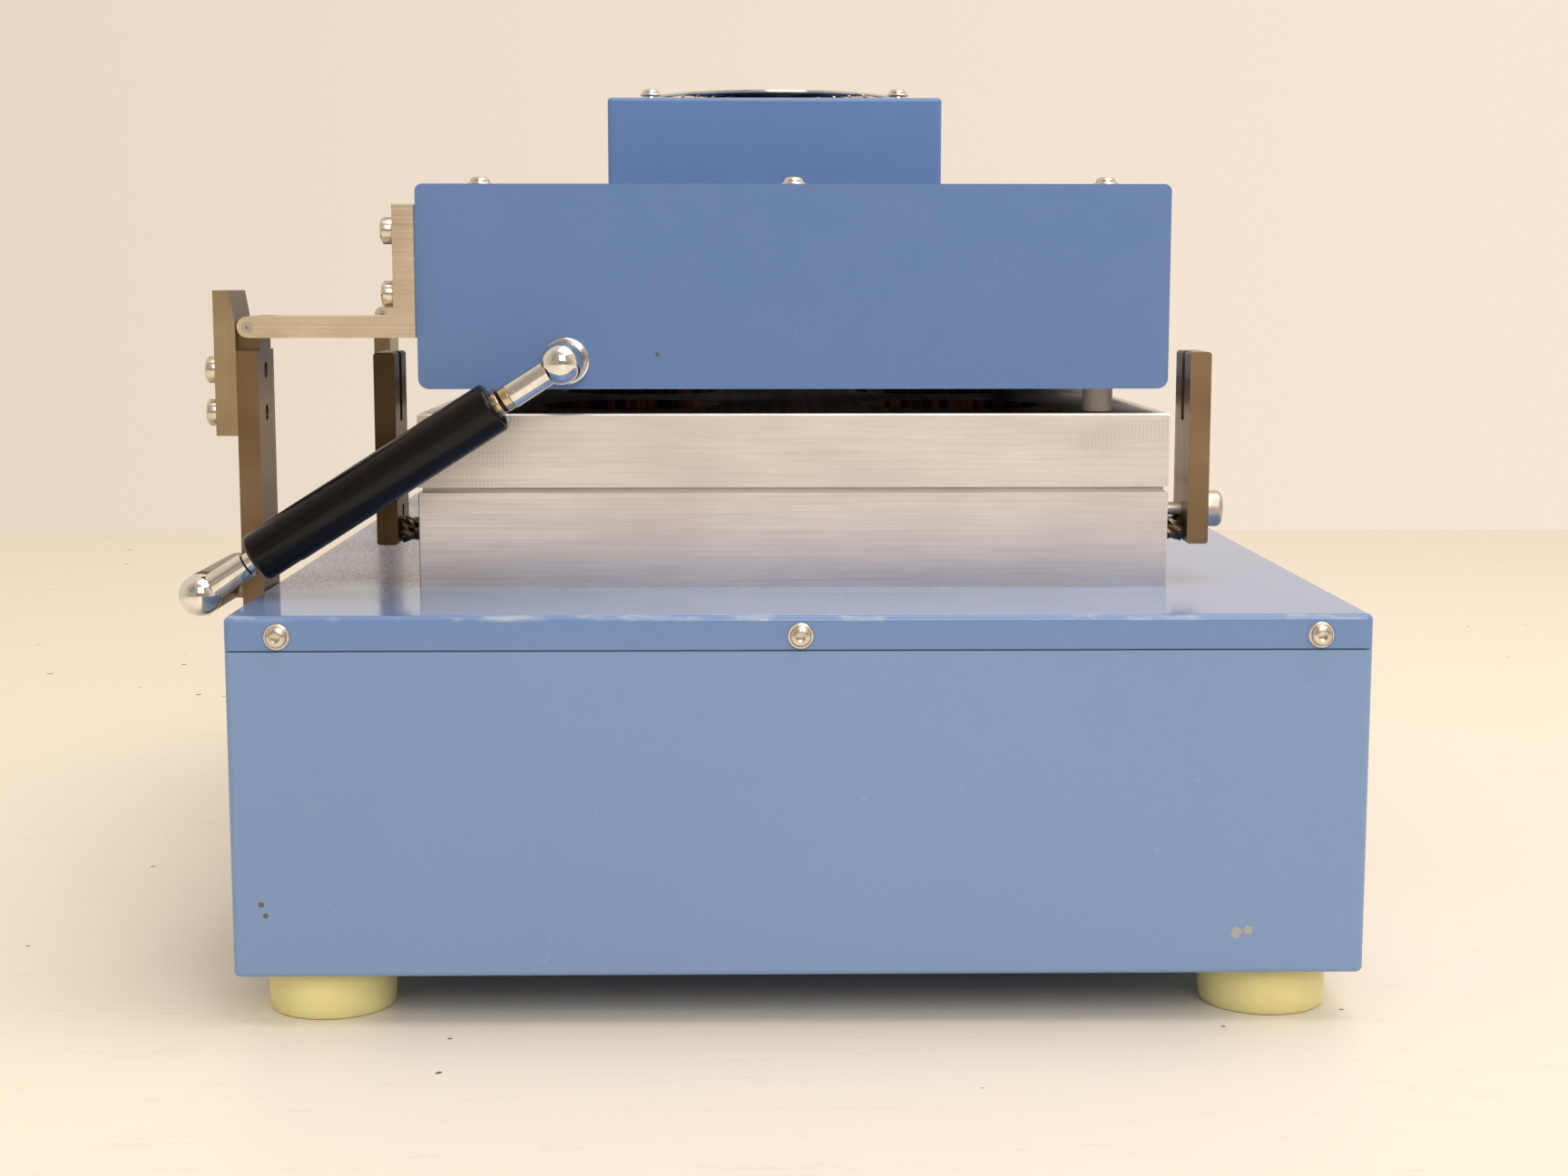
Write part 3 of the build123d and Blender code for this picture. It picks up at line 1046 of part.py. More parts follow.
INLET_SPOT = (INLET_Y, INLET_Z)
PIN_SPOTS = [(INLET_Y - 7, INLET_Z - 1), (INLET_Y + 7, INLET_Z - 1), (INLET_Y, INLET_Z + 3)]
with BuildPart() as mains_inlet:
    with BuildSketch(Plane.YZ.offset(-SIDE_X)):
        with Locations(INLET_SPOT):
            RectangleRounded(INLET_FLANGE[0], INLET_FLANGE[1], 4)
    extrude(amount=-INLET_FLANGE[2])
    with BuildSketch(Plane.YZ.offset(-SIDE_X)):
        with Locations(INLET_SPOT):
            RectangleRounded(*INLET_FACE, 4)
    extrude(amount=-INLET_STAND)
    fillet(faces().sort_by(Axis.X)[0].edges(), 1.2)
    with BuildSketch(Plane.YZ.offset(-SIDE_X)):
        with Locations(INLET_SPOT):
            Rectangle(INLET_CUT[0] - CLEAR, INLET_CUT[1] - CLEAR)
    extrude(amount=SHELL_WALL + 4)
    with BuildSketch(Plane.YZ.offset(-SIDE_X - INLET_STAND)):
        with Locations(INLET_SPOT):
            RectangleRounded(*INLET_RECESS, 3)
    extrude(amount=INLET_RECESS_DEPTH, mode=Mode.SUBTRACT)
    with BuildSketch(Plane.YZ.offset(-SIDE_X - INLET_STAND + INLET_RECESS_DEPTH)):
        with Locations(*PIN_SPOTS):
            Rectangle(*PIN_SLOT)
    extrude(amount=-PIN_LENGTH)
save(mains_inlet.part, "mains_inlet")

# ------------------------------------------------------- joint geometry, printed
LID_TRAVEL_DEG = 98.0
reach = Vector(UPPER_BALL_X - PIVOT_X, 0, UPPER_BALL_Z - PIVOT_Z)
opened = reach.rotate(Axis.Y, -LID_TRAVEL_DEG) + Vector(PIVOT_X, STRUT_Y, PIVOT_Z)
open_line = opened - LOWER_BALL
shut_line = UPPER_BALL - LOWER_BALL
stroke = open_line.length - shut_line.length
swing = shut_line.get_angle(open_line)
print(f"pivot {PIVOT_X:.3f} {PIVOT_Z:.3f}  strut axis {STRUT_PLANE.z_dir}")
print(f"lower ball {LOWER_BALL}  stroke {stroke:.3f} mm  swing {swing:.3f} deg")
print(f"stations {STATIONS}")
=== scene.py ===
"""A heated six-place magnetic stirrer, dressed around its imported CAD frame.  Metres throughout."""

import json
import logging
import math
from dataclasses import dataclass, field
from enum import Enum
from typing import Optional, Sequence

import bmesh
import bpy
import numpy as np
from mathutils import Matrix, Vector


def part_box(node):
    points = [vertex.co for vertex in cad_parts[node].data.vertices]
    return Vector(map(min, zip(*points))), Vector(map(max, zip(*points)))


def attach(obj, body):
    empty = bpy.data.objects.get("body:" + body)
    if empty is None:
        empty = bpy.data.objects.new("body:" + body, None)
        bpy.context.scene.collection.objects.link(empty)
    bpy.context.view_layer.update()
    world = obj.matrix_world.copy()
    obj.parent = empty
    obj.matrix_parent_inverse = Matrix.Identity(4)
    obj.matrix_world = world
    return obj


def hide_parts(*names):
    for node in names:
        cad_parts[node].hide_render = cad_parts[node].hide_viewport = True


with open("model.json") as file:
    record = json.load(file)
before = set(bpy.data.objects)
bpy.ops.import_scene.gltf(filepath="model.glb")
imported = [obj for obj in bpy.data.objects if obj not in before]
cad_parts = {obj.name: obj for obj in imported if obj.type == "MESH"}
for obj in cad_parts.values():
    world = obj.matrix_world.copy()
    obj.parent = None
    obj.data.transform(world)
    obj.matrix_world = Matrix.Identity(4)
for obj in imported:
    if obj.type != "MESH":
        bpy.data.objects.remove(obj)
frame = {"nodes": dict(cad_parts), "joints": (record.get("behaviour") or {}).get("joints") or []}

log = logging.getLogger("stirrer")
MM = 0.001
TURN = 2 * math.pi
Point = tuple[float, float, float]
Tone = tuple[float, float, float, float]
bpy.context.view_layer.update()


def tone(red: float, green: float, blue: float) -> Tone:
    """Turns a display colour of 0 to 255 into the linear colour that shaders use.

    Args:
        red, green, blue: the display colour.

    Returns:
        The linear colour, opaque.
    """
    parts = np.array([red, green, blue]) / 255
    linear = np.where(parts <= 0.04045, parts / 12.92, ((parts + 0.055) / 1.055) ** 2.4)
    return (*linear.tolist(), 1.0)


def shaded(colour: Tone, share: float | Point) -> Tone:
    """Multiplies a colour by one share, or each of its channels by its own."""
    return (*(np.array(colour[:3]) * share).tolist(), 1.0)


# ------------------------------------------------------------------ surfaces
@dataclass(frozen=True)
class Stand:
    """Where a turned shape stands and which way it points."""

    origin: Point
    along: Point = (0.0, 0.0, 1.0)

    def basis(self) -> np.ndarray:
        """Works out the stand's own axes.

        Returns:
            Three unit rows: two across the axis, then the axis itself.
        """
        axis = np.array(self.along) / np.linalg.norm(self.along)
        helper = np.array([0.0, 0.0, 1.0]) if abs(axis[2]) < 0.9 else np.array([1.0, 0.0, 0.0])
        across = np.cross(helper, axis)
        across /= np.linalg.norm(across)
        return np.stack([across, np.cross(axis, across), axis])

    def put(self, local: np.ndarray) -> np.ndarray:
        """Carries points of shape (..., 3) from the stand's own axes into the frame."""
        return np.array(self.origin) + local @ self.basis()


@dataclass(frozen=True)
class Grid:
    """A net of points, rows by columns, that may join up with itself either way."""

    points: np.ndarray
    rows_join: bool = False
    columns_join: bool = True

    def quads(self) -> np.ndarray:
        """Numbers the corners of every cell.

        Returns:
            Four point numbers for each cell, taken round the cell in order.
        """
        rows, columns = self.points.shape[:2]
        index = np.arange(rows * columns).reshape(rows, columns)
        if self.columns_join:
            index = np.concatenate([index, index[:, :1]], axis=1)
        if self.rows_join:
            index = np.concatenate([index, index[:1]], axis=0)
        corners = [index[:-1, :-1], index[:-1, 1:], index[1:, 1:], index[1:, :-1]]
        return np.stack(corners, axis=-1).reshape(-1, 4)


def softened(profile: Sequence[tuple[float, float]], radius: float, steps: int = 4) -> np.ndarray:
    """Rounds a profile's inner corners.

    Each corner gives way to a parabola that starts and ends at most the radius away from it:
    (1-t)^2 times the start, plus 2t(1-t) times the corner, plus t^2 times the end.

    Args:
        profile: radius and height of each corner.
        radius: how far from its corner a curve starts.
        steps: cells along each curve.

    Returns:
        The rounded profile, one row for each point.
    """
    corners = np.array(profile, dtype=float)
    before, corner, after = corners[:-2], corners[1:-1], corners[2:]
    back, ahead = before - corner, after - corner
    back_run = np.linalg.norm(back, axis=1, keepdims=True)
    ahead_run = np.linalg.norm(ahead, axis=1, keepdims=True)
    start = corner + back / back_run * np.minimum(radius, 0.45 * back_run)
    end = corner + ahead / ahead_run * np.minimum(radius, 0.45 * ahead_run)
    t = np.linspace(0, 1, steps + 1)[None, :, None]
    curves = (1 - t) ** 2 * start[:, None] + 2 * t * (1 - t) * corner[:, None] + t**2 * end[:, None]
    return np.concatenate([corners[:1], curves.reshape(-1, 2), corners[-1:]])


class Outline(Enum):
    """The shape of one ring of a turned piece."""

    ROUND = "round"
    HEXAGON = "hexagon"
    KNURLED = "knurled"
    GRIP = "grip"


def ring_factor(outline: Outline, angles: np.ndarray) -> np.ndarray:
    """Gives a ring's radius at each angle as a share of its stated radius.

    A hexagon is cos(30 deg) over the cosine of the angle from the nearest flat's middle.  A
    knurl and a grip are one less a small share of the absolute cosine of many turns.

    Args:
        outline: the ring's shape.
        angles: where round the ring, in radians.

    Returns:
        The share at each angle.
    """
    if outline is Outline.HEXAGON:
        return math.cos(TURN / 12) / np.cos((angles % (TURN / 6)) - TURN / 12)
    if outline is Outline.KNURLED:
        return 1 - 0.035 * np.abs(np.cos(18 * angles))
    if outline is Outline.GRIP:
        return 1 - 0.045 * np.abs(np.cos(12 * angles)) ** 3
    return np.ones_like(angles)


def turned(
    stand: Stand,
    profile: Sequence[tuple[float, float]] | np.ndarray,
    steps: int = 48,
    outlines: Optional[Sequence[Outline]] = None,
) -> Grid:
    """Turns a profile about a stand's axis.

    The point at row i and angle a is the radius of row i, times its outline's factor at a,
    times (cos a, sin a) across the axis, plus the height of row i along it.

    Args:
        stand: the axis.
        profile: radius and height of each row, from the foot to the top.
        steps: cells round the axis.
        outlines: the shape of each row's ring, round where left out.

    Returns:
        The grid, closed round the axis.
    """
    rows = np.asarray(profile, dtype=float)
    angles = np.arange(steps) * TURN / steps
    shapes = outlines or [Outline.ROUND] * len(rows)
    factors = np.stack([ring_factor(shape, angles) for shape in shapes])
    radii = rows[:, :1] * factors
    heights = np.broadcast_to(rows[:, 1:], radii.shape)
    local = np.stack([radii * np.cos(angles), radii * np.sin(angles), heights], axis=-1)
    return Grid(stand.put(local))


def swept(path: np.ndarray, radius: float, steps: int = 12, joined: bool = False) -> Grid:
    """Carries a round section along a path.

    Each point is the path's point plus the radius times (cos a, sin a) along two unit vectors
    square to the path.  An open path ends in a cone that shuts it.

    Args:
        path: points along the middle, one row each.
        radius: the section's radius.
        steps: cells round the section.
        joined: whether the path closes on itself.

    Returns:
        The grid of the tube's wall.
    """
    if joined:
        ahead = np.roll(path, -1, axis=0) - np.roll(path, 1, axis=0)
        radii = np.full(len(path), radius)
    else:
        path = np.concatenate([path[:1], path, path[-1:]])
        ahead = np.gradient(path[1:-1], axis=0)
        ahead = np.concatenate([ahead[:1], ahead, ahead[-1:]])
        radii = np.full(len(path), radius)
        radii[[0, -1]] = 0.0
    ahead /= np.linalg.norm(ahead, axis=1, keepdims=True)
    steep = np.abs(ahead[:, 2]).max() >= 0.9
    helper = np.array([0.0, 1.0, 0.0] if steep else [0.0, 0.0, 1.0])
    side = np.cross(ahead, helper)
    side /= np.linalg.norm(side, axis=1, keepdims=True)
    rise = np.cross(side, ahead)
    angles = np.arange(steps) * TURN / steps
    cosine, sine = np.cos(angles)[None, :, None], np.sin(angles)[None, :, None]
    across = cosine * side[:, None] + sine * rise[:, None]
    return Grid(path[:, None] + radii[:, None, None] * across, rows_join=joined)


def pad(
    stand: Stand, half_width: float, half_length: float, height: float, power: float = 6.0
) -> Grid:
    """A low tablet with a rounded outline and softened rims.

    Its outline is a superellipse: the half sizes times the cosine and the sine, each raised to
    2/power with its sign kept.  Its rows shrink towards the faces in a quarter round.

    Args:
        stand: the middle of the underside and the way the tablet faces.
        half_width, half_length: half sizes across the stand.
        height: its thickness.
        power: higher is squarer.

    Returns:
        The closed grid.
    """
    angles = (np.arange(40) + 0.5) * TURN / 40
    cosine, sine = np.cos(angles), np.sin(angles)
    unit = [np.sign(v) * np.abs(v) ** (2 / power) for v in (cosine, sine)]
    rim = min(height * 0.45, half_width * 0.4, half_length * 0.4)
    quarter = np.linspace(0, TURN / 4, 4)
    late, early = rim * (1 - np.sin(quarter)), rim * (1 - np.cos(quarter))
    inset = np.concatenate([[0], late, early, [0]])
    level = np.concatenate([[0], early, height - late, [height]])
    keep = np.ones(len(inset))
    keep[[0, -1]] = 0.0
    across = (half_width - inset)[:, None] * keep[:, None] * unit[0]
    along = (half_length - inset)[:, None] * keep[:, None] * unit[1]
    local = np.stack([across, along, np.broadcast_to(level[:, None], across.shape)], axis=-1)
    return Grid(stand.put(local))


# ------------------------------------------------------------------ shader bench
Socket = bpy.types.NodeSocket


class NodeBoard:
    """Lays out shader nodes in one node tree and joins them up."""

    def __init__(self, tree: bpy.types.NodeTree) -> None:
        """Takes the tree to work in."""
        self.tree = tree

    def node(self, kind: str, **settings: object) -> bpy.types.Node:
        """Adds a node.

        Args:
            kind: Blender's name for the kind of node.
            settings: its properties.

        Returns:
            The new node.
        """
        made = self.tree.nodes.new(kind)
        for key, value in settings.items():
            setattr(made, key, value)
        return made

    def feed(self, socket: Socket, source: object) -> None:
        """Joins a socket to another one, or sets it to a plain value.

        Args:
            socket: the input to feed.
            source: an output, or a number, point or colour.
        """
        if isinstance(source, Socket):
            self.tree.links.new(source, socket)
        else:
            socket.default_value = source

    def span(
        self, value: object, low: float, high: float, to_low: float = 0.0, to_high: float = 1.0
    ) -> Socket:
        """Maps one span of numbers onto another and holds it at both ends.

        Args:
            value: what is mapped.
            low, high: the span that it comes in.
            to_low, to_high: what the two ends turn into.

        Returns:
            The mapped number.
        """
        made = self.node("ShaderNodeMapRange", clamp=True)
        ends = {"From Min": low, "From Max": high, "To Min": to_low, "To Max": to_high}
        for key, number in ends.items():
            made.inputs[key].default_value = number
        self.feed(made.inputs["Value"], value)
        return made.outputs["Result"]

    def sum(self, operation: str, first: object, second: object = 0.0) -> Socket:
        """Does one step of arithmetic.

        Args:
            operation: Blender's name for the step.
            first, second: its numbers.

        Returns:
            The result.
        """
        made = self.node("ShaderNodeMath", operation=operation)
        self.feed(made.inputs[0], first)
        self.feed(made.inputs[1], second)
        return made.outputs[0]

    def blend(self, share: object, first: object, second: object) -> Socket:
        """Mixes two colours.

        Args:
            share: how much of the second there is, 0 to 1.
            first, second: the colours.

        Returns:
            The mixed colour.
        """
        made = self.node("ShaderNodeMix", data_type="RGBA")
        self.feed(made.inputs["Factor"], share)
        self.feed(made.inputs[6], first)
        self.feed(made.inputs[7], second)
        return made.outputs[2]


class Bench(NodeBoard):
    """Builds one material around its surface shader."""

    def __init__(self, name: str) -> None:
        """Starts a material with one surface shader on it.

        Args:
            name: the material's name.
        """
        self.material = bpy.data.materials.new(name)
        self.material.use_nodes = True
        super().__init__(self.material.node_tree)
        self.shader = self.tree.nodes["Principled BSDF"]

    def set(self, **values: object) -> None:
        """Sets the shader's own sockets; an underscore in a key stands for a space."""
        for key, value in values.items():
            self.feed(self.shader.inputs[key.replace("_", " ")], value)

    def place(self, stretch: Point = (1.0, 1.0, 1.0)) -> Socket:
        """Reads object coordinates.

        Args:
            stretch: the share that each axis is multiplied by.

        Returns:
            The stretched coordinates.
        """
        mapping = self.node("ShaderNodeMapping")
        mapping.inputs["Scale"].default_value = stretch
        self.feed(mapping.inputs["Vector"], self.node("ShaderNodeTexCoord").outputs["Object"])
        return mapping.outputs["Vector"]

    def axis(self, name: str) -> Socket:
        """Reads one object coordinate.

        Args:
            name: X, Y or Z.

        Returns:
            The coordinate.
        """
        split = self.node("ShaderNodeSeparateXYZ")
        self.feed(split.inputs[0], self.node("ShaderNodeTexCoord").outputs["Object"])
        return split.outputs[name]

    def noise(
        self, scale: float, stretch: Point = (1.0, 1.0, 1.0), detail: float = 3.0
    ) -> Socket:
        """Makes cloudy noise.

        Args:
            scale: clouds to the metre.
            stretch: a further share for each axis.
            detail: finer layers laid over the first.

        Returns:
            The noise, between 0 and 1.
        """
        made = self.node("ShaderNodeTexNoise")
        made.inputs["Scale"].default_value = scale
        made.inputs["Detail"].default_value = detail
        self.feed(made.inputs["Vector"], self.place(stretch))
        return made.outputs["Fac"]

    def ripple(self, scale: float, direction: str, distortion: float = 0.0) -> Socket:
        """Makes even ripples across one axis.

        Args:
            scale: how close the ripples stand.
            direction: the axis that they follow one another along.
            distortion: how far they waver.

        Returns:
            The ripples, between 0 and 1.
        """
        made = self.node("ShaderNodeTexWave", bands_direction=direction)
        made.inputs["Scale"].default_value = scale
        made.inputs["Distortion"].default_value = distortion
        self.feed(made.inputs["Vector"], self.place())
        return made.outputs["Fac"]

    def near(self, spot: Point, radius: float, ragged: float) -> Socket:
        """Marks a ragged blot.

        Args:
            spot: the blot's middle.
            radius: its size.
            ragged: how torn its edge is, as a share of the radius.

        Returns:
            One inside the blot and none outside it.
        """
        gap = self.node("ShaderNodeVectorMath", operation="DISTANCE")
        self.feed(gap.inputs[0], self.place())
        gap.inputs[1].default_value = spot
        edge = self.noise(1 / (0.55 * radius), detail=4.0)
        torn = self.sum("MULTIPLY_ADD", edge, ragged * radius)
        torn.node.inputs[2].default_value = -0.5 * ragged * radius
        return self.span(self.sum("ADD", gap.outputs["Value"], torn), 0.96 * radius, 0.85 * radius)

    def bump(self, height: object, distance: float, strength: float = 1.0) -> None:
        """Raises the surface, on top of any bump already there.

        Args:
            height: the height map, 0 to 1.
            distance: how high one stands, in metres.
            strength: how much of it shows.
        """
        made = self.node("ShaderNodeBump")
        made.inputs["Distance"].default_value = distance
        made.inputs["Strength"].default_value = strength
        self.feed(made.inputs["Height"], height)
        normal = self.shader.inputs["Normal"]
        if normal.is_linked:
            self.feed(made.inputs["Normal"], normal.links[0].from_socket)
        self.feed(normal, made.outputs["Normal"])


@dataclass(frozen=True)
class Finish:
    """A surface finish; each kind below says how it is built on the bench."""

    name: str

    def material(self) -> bpy.types.Material:
        """Builds the finish the first time, and finds it again after that.

        Returns:
            The finish's material.
        """
        known = bpy.data.materials.get(self.name)
        if known is not None:
            return known
        bench = Bench(self.name)
        self.dress(bench)
        return bench.material

    def dress(self, bench: Bench) -> None:
        """Lays the finish out on the bench."""
        raise NotImplementedError


@dataclass(frozen=True)
class Chip:
    """A ragged spot where paint has come off or been marked."""

    spot: Point
    radius: float
    colour: Tone = tone(96, 92, 94)


@dataclass(frozen=True)
class PowderCoat(Finish):
    """Satin stove-baked powder paint with a fine orange peel, chips, scuffs and dust. The scuffs on
    the top edges carry a painted highlight.
    """

    colour: Tone = tone(102, 134, 186)
    gloss: float = 0.24
    chips: tuple[Chip, ...] = ()
    corner: Optional[Point] = None

    def dress(self, bench: Bench) -> None:
        """Mottled blue, then dust, scuffs with a painted edge highlight, and chips laid over it in
        turn.

        Args:
            bench: the material that it is laid out on.
        """
        deep = shaded(self.colour, 0.95)
        paint = bench.blend(bench.noise(9.0, detail=2.0), deep, self.colour)
        rough = bench.span(bench.noise(60.0), 0.3, 0.7, 0.85 * self.gloss, 1.15 * self.gloss)
        if self.corner is not None:
            share = self.dust(bench)
            paint = bench.blend(share, paint, tone(170, 154, 140))
            rough = bench.sum("ADD", rough, bench.sum("MULTIPLY", share, 0.4))
            # Pale rubs along the top's edges, partly a painted highlight on the bends.
            paint = bench.blend(self.rubs_and_edge_highlight(bench), paint, tone(186, 196, 208))
        bench.bump(bench.noise(520.0, detail=1.0), 0.0003, 0.06)
        for chip in self.chips:
            blot = bench.near(chip.spot, chip.radius, 1.3)
            paint = bench.blend(blot, paint, chip.colour)
            bench.bump(blot, -0.0002, 0.4)
        bench.set(Base_Color=paint, Roughness=rough, Specular_IOR_Level=0.5)

    def dust(self, bench: Bench) -> Socket:
        """Settled grains on the top, thickest at the hinge side's rear.

        Args:
            bench: the material that it is laid out on.

        Returns:
            How much of it there is, 0 to 1.
        """
        level = bench.span(bench.axis("Z"), self.corner[2] - 0.4 * MM, self.corner[2] - 0.1 * MM)
        aside = bench.span(bench.axis("X"), -0.09, -0.15)
        behind = bench.span(bench.axis("Y"), -0.24, -0.16)
        grains = bench.span(bench.noise(620.0, detail=2.0), 0.48, 0.62, 0.25, 1.0)
        drift = bench.span(bench.noise(22.0), 0.3, 0.6, 0.5, 1.0)
        where = bench.sum("MULTIPLY", bench.sum("MULTIPLY", aside, behind), level)
        return bench.sum("MULTIPLY", where, bench.sum("MULTIPLY", grains, drift))

    def rubs_and_edge_highlight(self, bench: Bench) -> Socket:
        """Pale rub marks and a painted highlight along the top's outer edges only.

        Args:
            bench: the material that it is laid out on.

        Returns:
            How much of it there is, 0 to 1.
        """
        level = bench.span(bench.axis("Z"), self.corner[2] - 2.4 * MM, self.corner[2] - 1.2 * MM)
        out = [bench.sum("ABSOLUTE", bench.axis(name)) for name in ("X", "Y")]
        rims = [
            bench.span(distance, reach - 3.2 * MM, reach - 2.0 * MM)
            for distance, reach in zip(out, self.corner)
        ]
        rub_and_highlight = bench.span(bench.noise(60.0, (1.0, 4.0, 1.0), 6.0), 0.52, 0.72, 0.0, 0.75)
        return bench.sum("MULTIPLY", bench.sum("MULTIPLY", level, bench.sum("MAXIMUM", *rims)), rub_and_highlight)


@dataclass(frozen=True)
class MilledAluminium(Finish):
    """Fly-cut aluminium: long level scratches, upright cutter marks and a smoky bloom."""

    colour: Tone = tone(246, 243, 240)
    cutter_marks_from: Optional[float] = None
    # The corner of the top inside which painted shade, streaked with painted reflection, is laid.
    painted_shade_within: Optional[Point] = None

    def dress(self, bench: Bench) -> None:
        """Scratches run along the faces. Painted shade, streaked with painted reflection, covers the
        top and the wells inside a bright rim.

        Args:
            bench: the material that it is laid out on.
        """
        scratches = bench.noise(1.0, (14.0, 14.0, 2600.0), 4.0)
        streaks = bench.noise(1.0, (34.0, 34.0, 1300.0), 6.0)
        bloom = bench.span(bench.noise(1.0, (16.0, 16.0, 38.0), 6.0), 0.36, 0.68)
        dull = shaded(self.colour, 0.66)
        smoky = shaded(self.colour, (0.74, 0.70, 0.72))
        metal = bench.blend(bench.sum("MULTIPLY", bloom, 0.6), self.colour, smoky)
        metal = bench.blend(bench.span(streaks, 0.5, 0.74, 0.0, 0.45), metal, dull)
        metal = bench.blend(bench.span(scratches, 0.35, 0.7, 0.0, 0.45), metal, dull)
        rough = bench.span(scratches, 0.3, 0.7, 0.3, 0.46)
        bench.bump(scratches, 0.00006, 0.3)
        if self.cutter_marks_from is not None:
            reach = bench.sum("ABSOLUTE", bench.axis("X"))
            where = bench.span(reach, self.cutter_marks_from, self.cutter_marks_from + 0.012)
            patchy = bench.span(bench.noise(1.0, (30.0, 30.0, 90.0), 4.0), 0.4, 0.62)
            cuts = bench.ripple(210.0, "X", 1.6)
            marks = bench.sum("MULTIPLY", cuts, bench.sum("MULTIPLY", where, patchy))
            metal = bench.blend(bench.sum("MULTIPLY", marks, 0.55), metal, dull)
            bench.bump(marks, 0.0001, 0.35)
        # Painted shade under the cover: the top and the wells go dark inside a bright rim, with
        # streaks of painted reflection.
        if self.painted_shade_within is not None:
            out = [bench.sum("ABSOLUTE", bench.axis(name)) for name in ("X", "Y")]
            inner = [
                bench.span(distance, reach - 3.0 * MM, reach - 6.0 * MM)
                for distance, reach in zip(out, self.painted_shade_within)
            ]
            reflection_streaks = bench.span(bench.noise(1.0, (300.0, 5.0, 1.0), 4.0), 0.42, 0.62)
            streaked_shade = bench.blend(reflection_streaks, tone(38, 27, 23), tone(126, 78, 58))
            metal = bench.blend(bench.sum("MULTIPLY", *inner), metal, streaked_shade)
        bench.set(Base_Color=metal, Metallic=1.0, Roughness=rough)


class Grain(Enum):
    """Which way a ground bar's grit lines run."""

    UPRIGHT = (2400.0, 2400.0, 16.0)
    LEVEL = (12.0, 12.0, 1800.0)


@dataclass(frozen=True)
class GroundSteel(Finish):
    """Belt-ground flat bar with a warm tarnish."""

    colour: Tone = tone(176, 160, 136)
    grain: Grain = Grain.UPRIGHT
    polish: float = 0.34

    def dress(self, bench: Bench) -> None:
        """Grit lines over slow patches of tarnish.

        Args:
            bench: the material that it is laid out on.
        """
        lines = bench.noise(1.0, self.grain.value, 4.0)
        patches = bench.span(bench.noise(38.0, detail=5.0), 0.35, 0.7)
        tarnish = shaded(self.colour, (0.68, 0.63, 0.56))
        metal = bench.blend(bench.sum("MULTIPLY", patches, 0.7), self.colour, tarnish)
        metal = bench.blend(bench.span(lines, 0.35, 0.68, 0.0, 0.22), metal, tarnish)
        bench.bump(lines, 0.00008, 0.5)
        rough = bench.span(lines, 0.3, 0.7, self.polish - 0.07, self.polish + 0.1)
        bench.set(Base_Color=metal, Metallic=1.0, Roughness=rough)


@dataclass(frozen=True)
class TurnedSteel(Finish):
    """Bright rolled or turned steel, with faint finger marks."""

    colour: Tone = tone(222, 214, 200)
    roughness: float = 0.2

    def dress(self, bench: Bench) -> None:
        """Smears vary the gloss a little.

        Args:
            bench: the material that it is laid out on.
        """
        smears = bench.noise(240.0, detail=5.0)
        dull = shaded(self.colour, 0.82)
        metal = bench.blend(bench.span(smears, 0.45, 0.7), self.colour, dull)
        bench.bump(bench.noise(1500.0), 0.00002, 0.4)
        rough = bench.span(smears, 0.3, 0.7, 0.8 * self.roughness, 1.4 * self.roughness)
        bench.set(Base_Color=metal, Metallic=1.0, Roughness=rough)


@dataclass(frozen=True)
class Lacquer(Finish):
    """Black stove lacquer on drawn tube, glossy under a light film of handling."""

    colour: Tone = tone(10, 7, 6)

    def dress(self, bench: Bench) -> None:
        """Gloss that handling has dulled in patches.

        Args:
            bench: the material that it is laid out on.
        """
        film = bench.noise(95.0, detail=5.0)
        lighter = shaded(self.colour, 1.8)
        bench.bump(bench.noise(800.0), 0.00004, 0.3)
        rough = bench.span(film, 0.35, 0.7, 0.16, 0.3)
        lacquer = bench.blend(bench.span(film, 0.45, 0.75), self.colour, lighter)
        bench.set(Base_Color=lacquer, Roughness=rough, Specular_IOR_Level=0.26)


@dataclass(frozen=True)
class Moulding(Finish):
    """Moulded or cast plastic and rubber, with the fine texture of its mould."""

    colour: Tone = tone(52, 52, 56)
    roughness: float = 0.5
    texture: float = 900.0
    milky: float = 0.0

    def dress(self, bench: Bench) -> None:
        """A fine texture and a slow drift of colour; milky ones let light in.

        Args:
            bench: the material that it is laid out on.
        """
        drift = bench.noise(30.0, detail=4.0)
        deep = shaded(self.colour, 0.82)
        colour = bench.blend(bench.span(drift, 0.35, 0.7), self.colour, deep)
        bench.bump(bench.noise(self.texture, detail=2.0), 0.00012, 0.3)
        rough = bench.span(drift, 0.3, 0.7, 0.9 * self.roughness, 1.12 * self.roughness)
        bench.set(Base_Color=colour, Roughness=rough)
        if self.milky:
            bench.set(Subsurface_Weight=self.milky, Subsurface_Radius=(0.012, 0.010, 0.004))
            bench.set(Subsurface_Scale=1.0)


@dataclass(frozen=True)
class Board(Finish):
    """A coated circuit board with its tracks."""

    colour: Tone = tone(24, 84, 52)

    def dress(self, bench: Bench) -> None:
        """Tracks are thin bands of two crossed ripples.

        Args:
            bench: the material that it is laid out on.
        """
        crossed = bench.ripple(120.0, "Y", 3.0), bench.ripple(110.0, "Z", 3.0)
        tracks = bench.sum("MAXIMUM", *crossed)
        share = bench.span(tracks, 0.86, 0.92)
        bench.set(Base_Color=bench.blend(share, self.colour, tone(64, 128, 78)), Roughness=0.35)
        bench.bump(share, 0.00003)


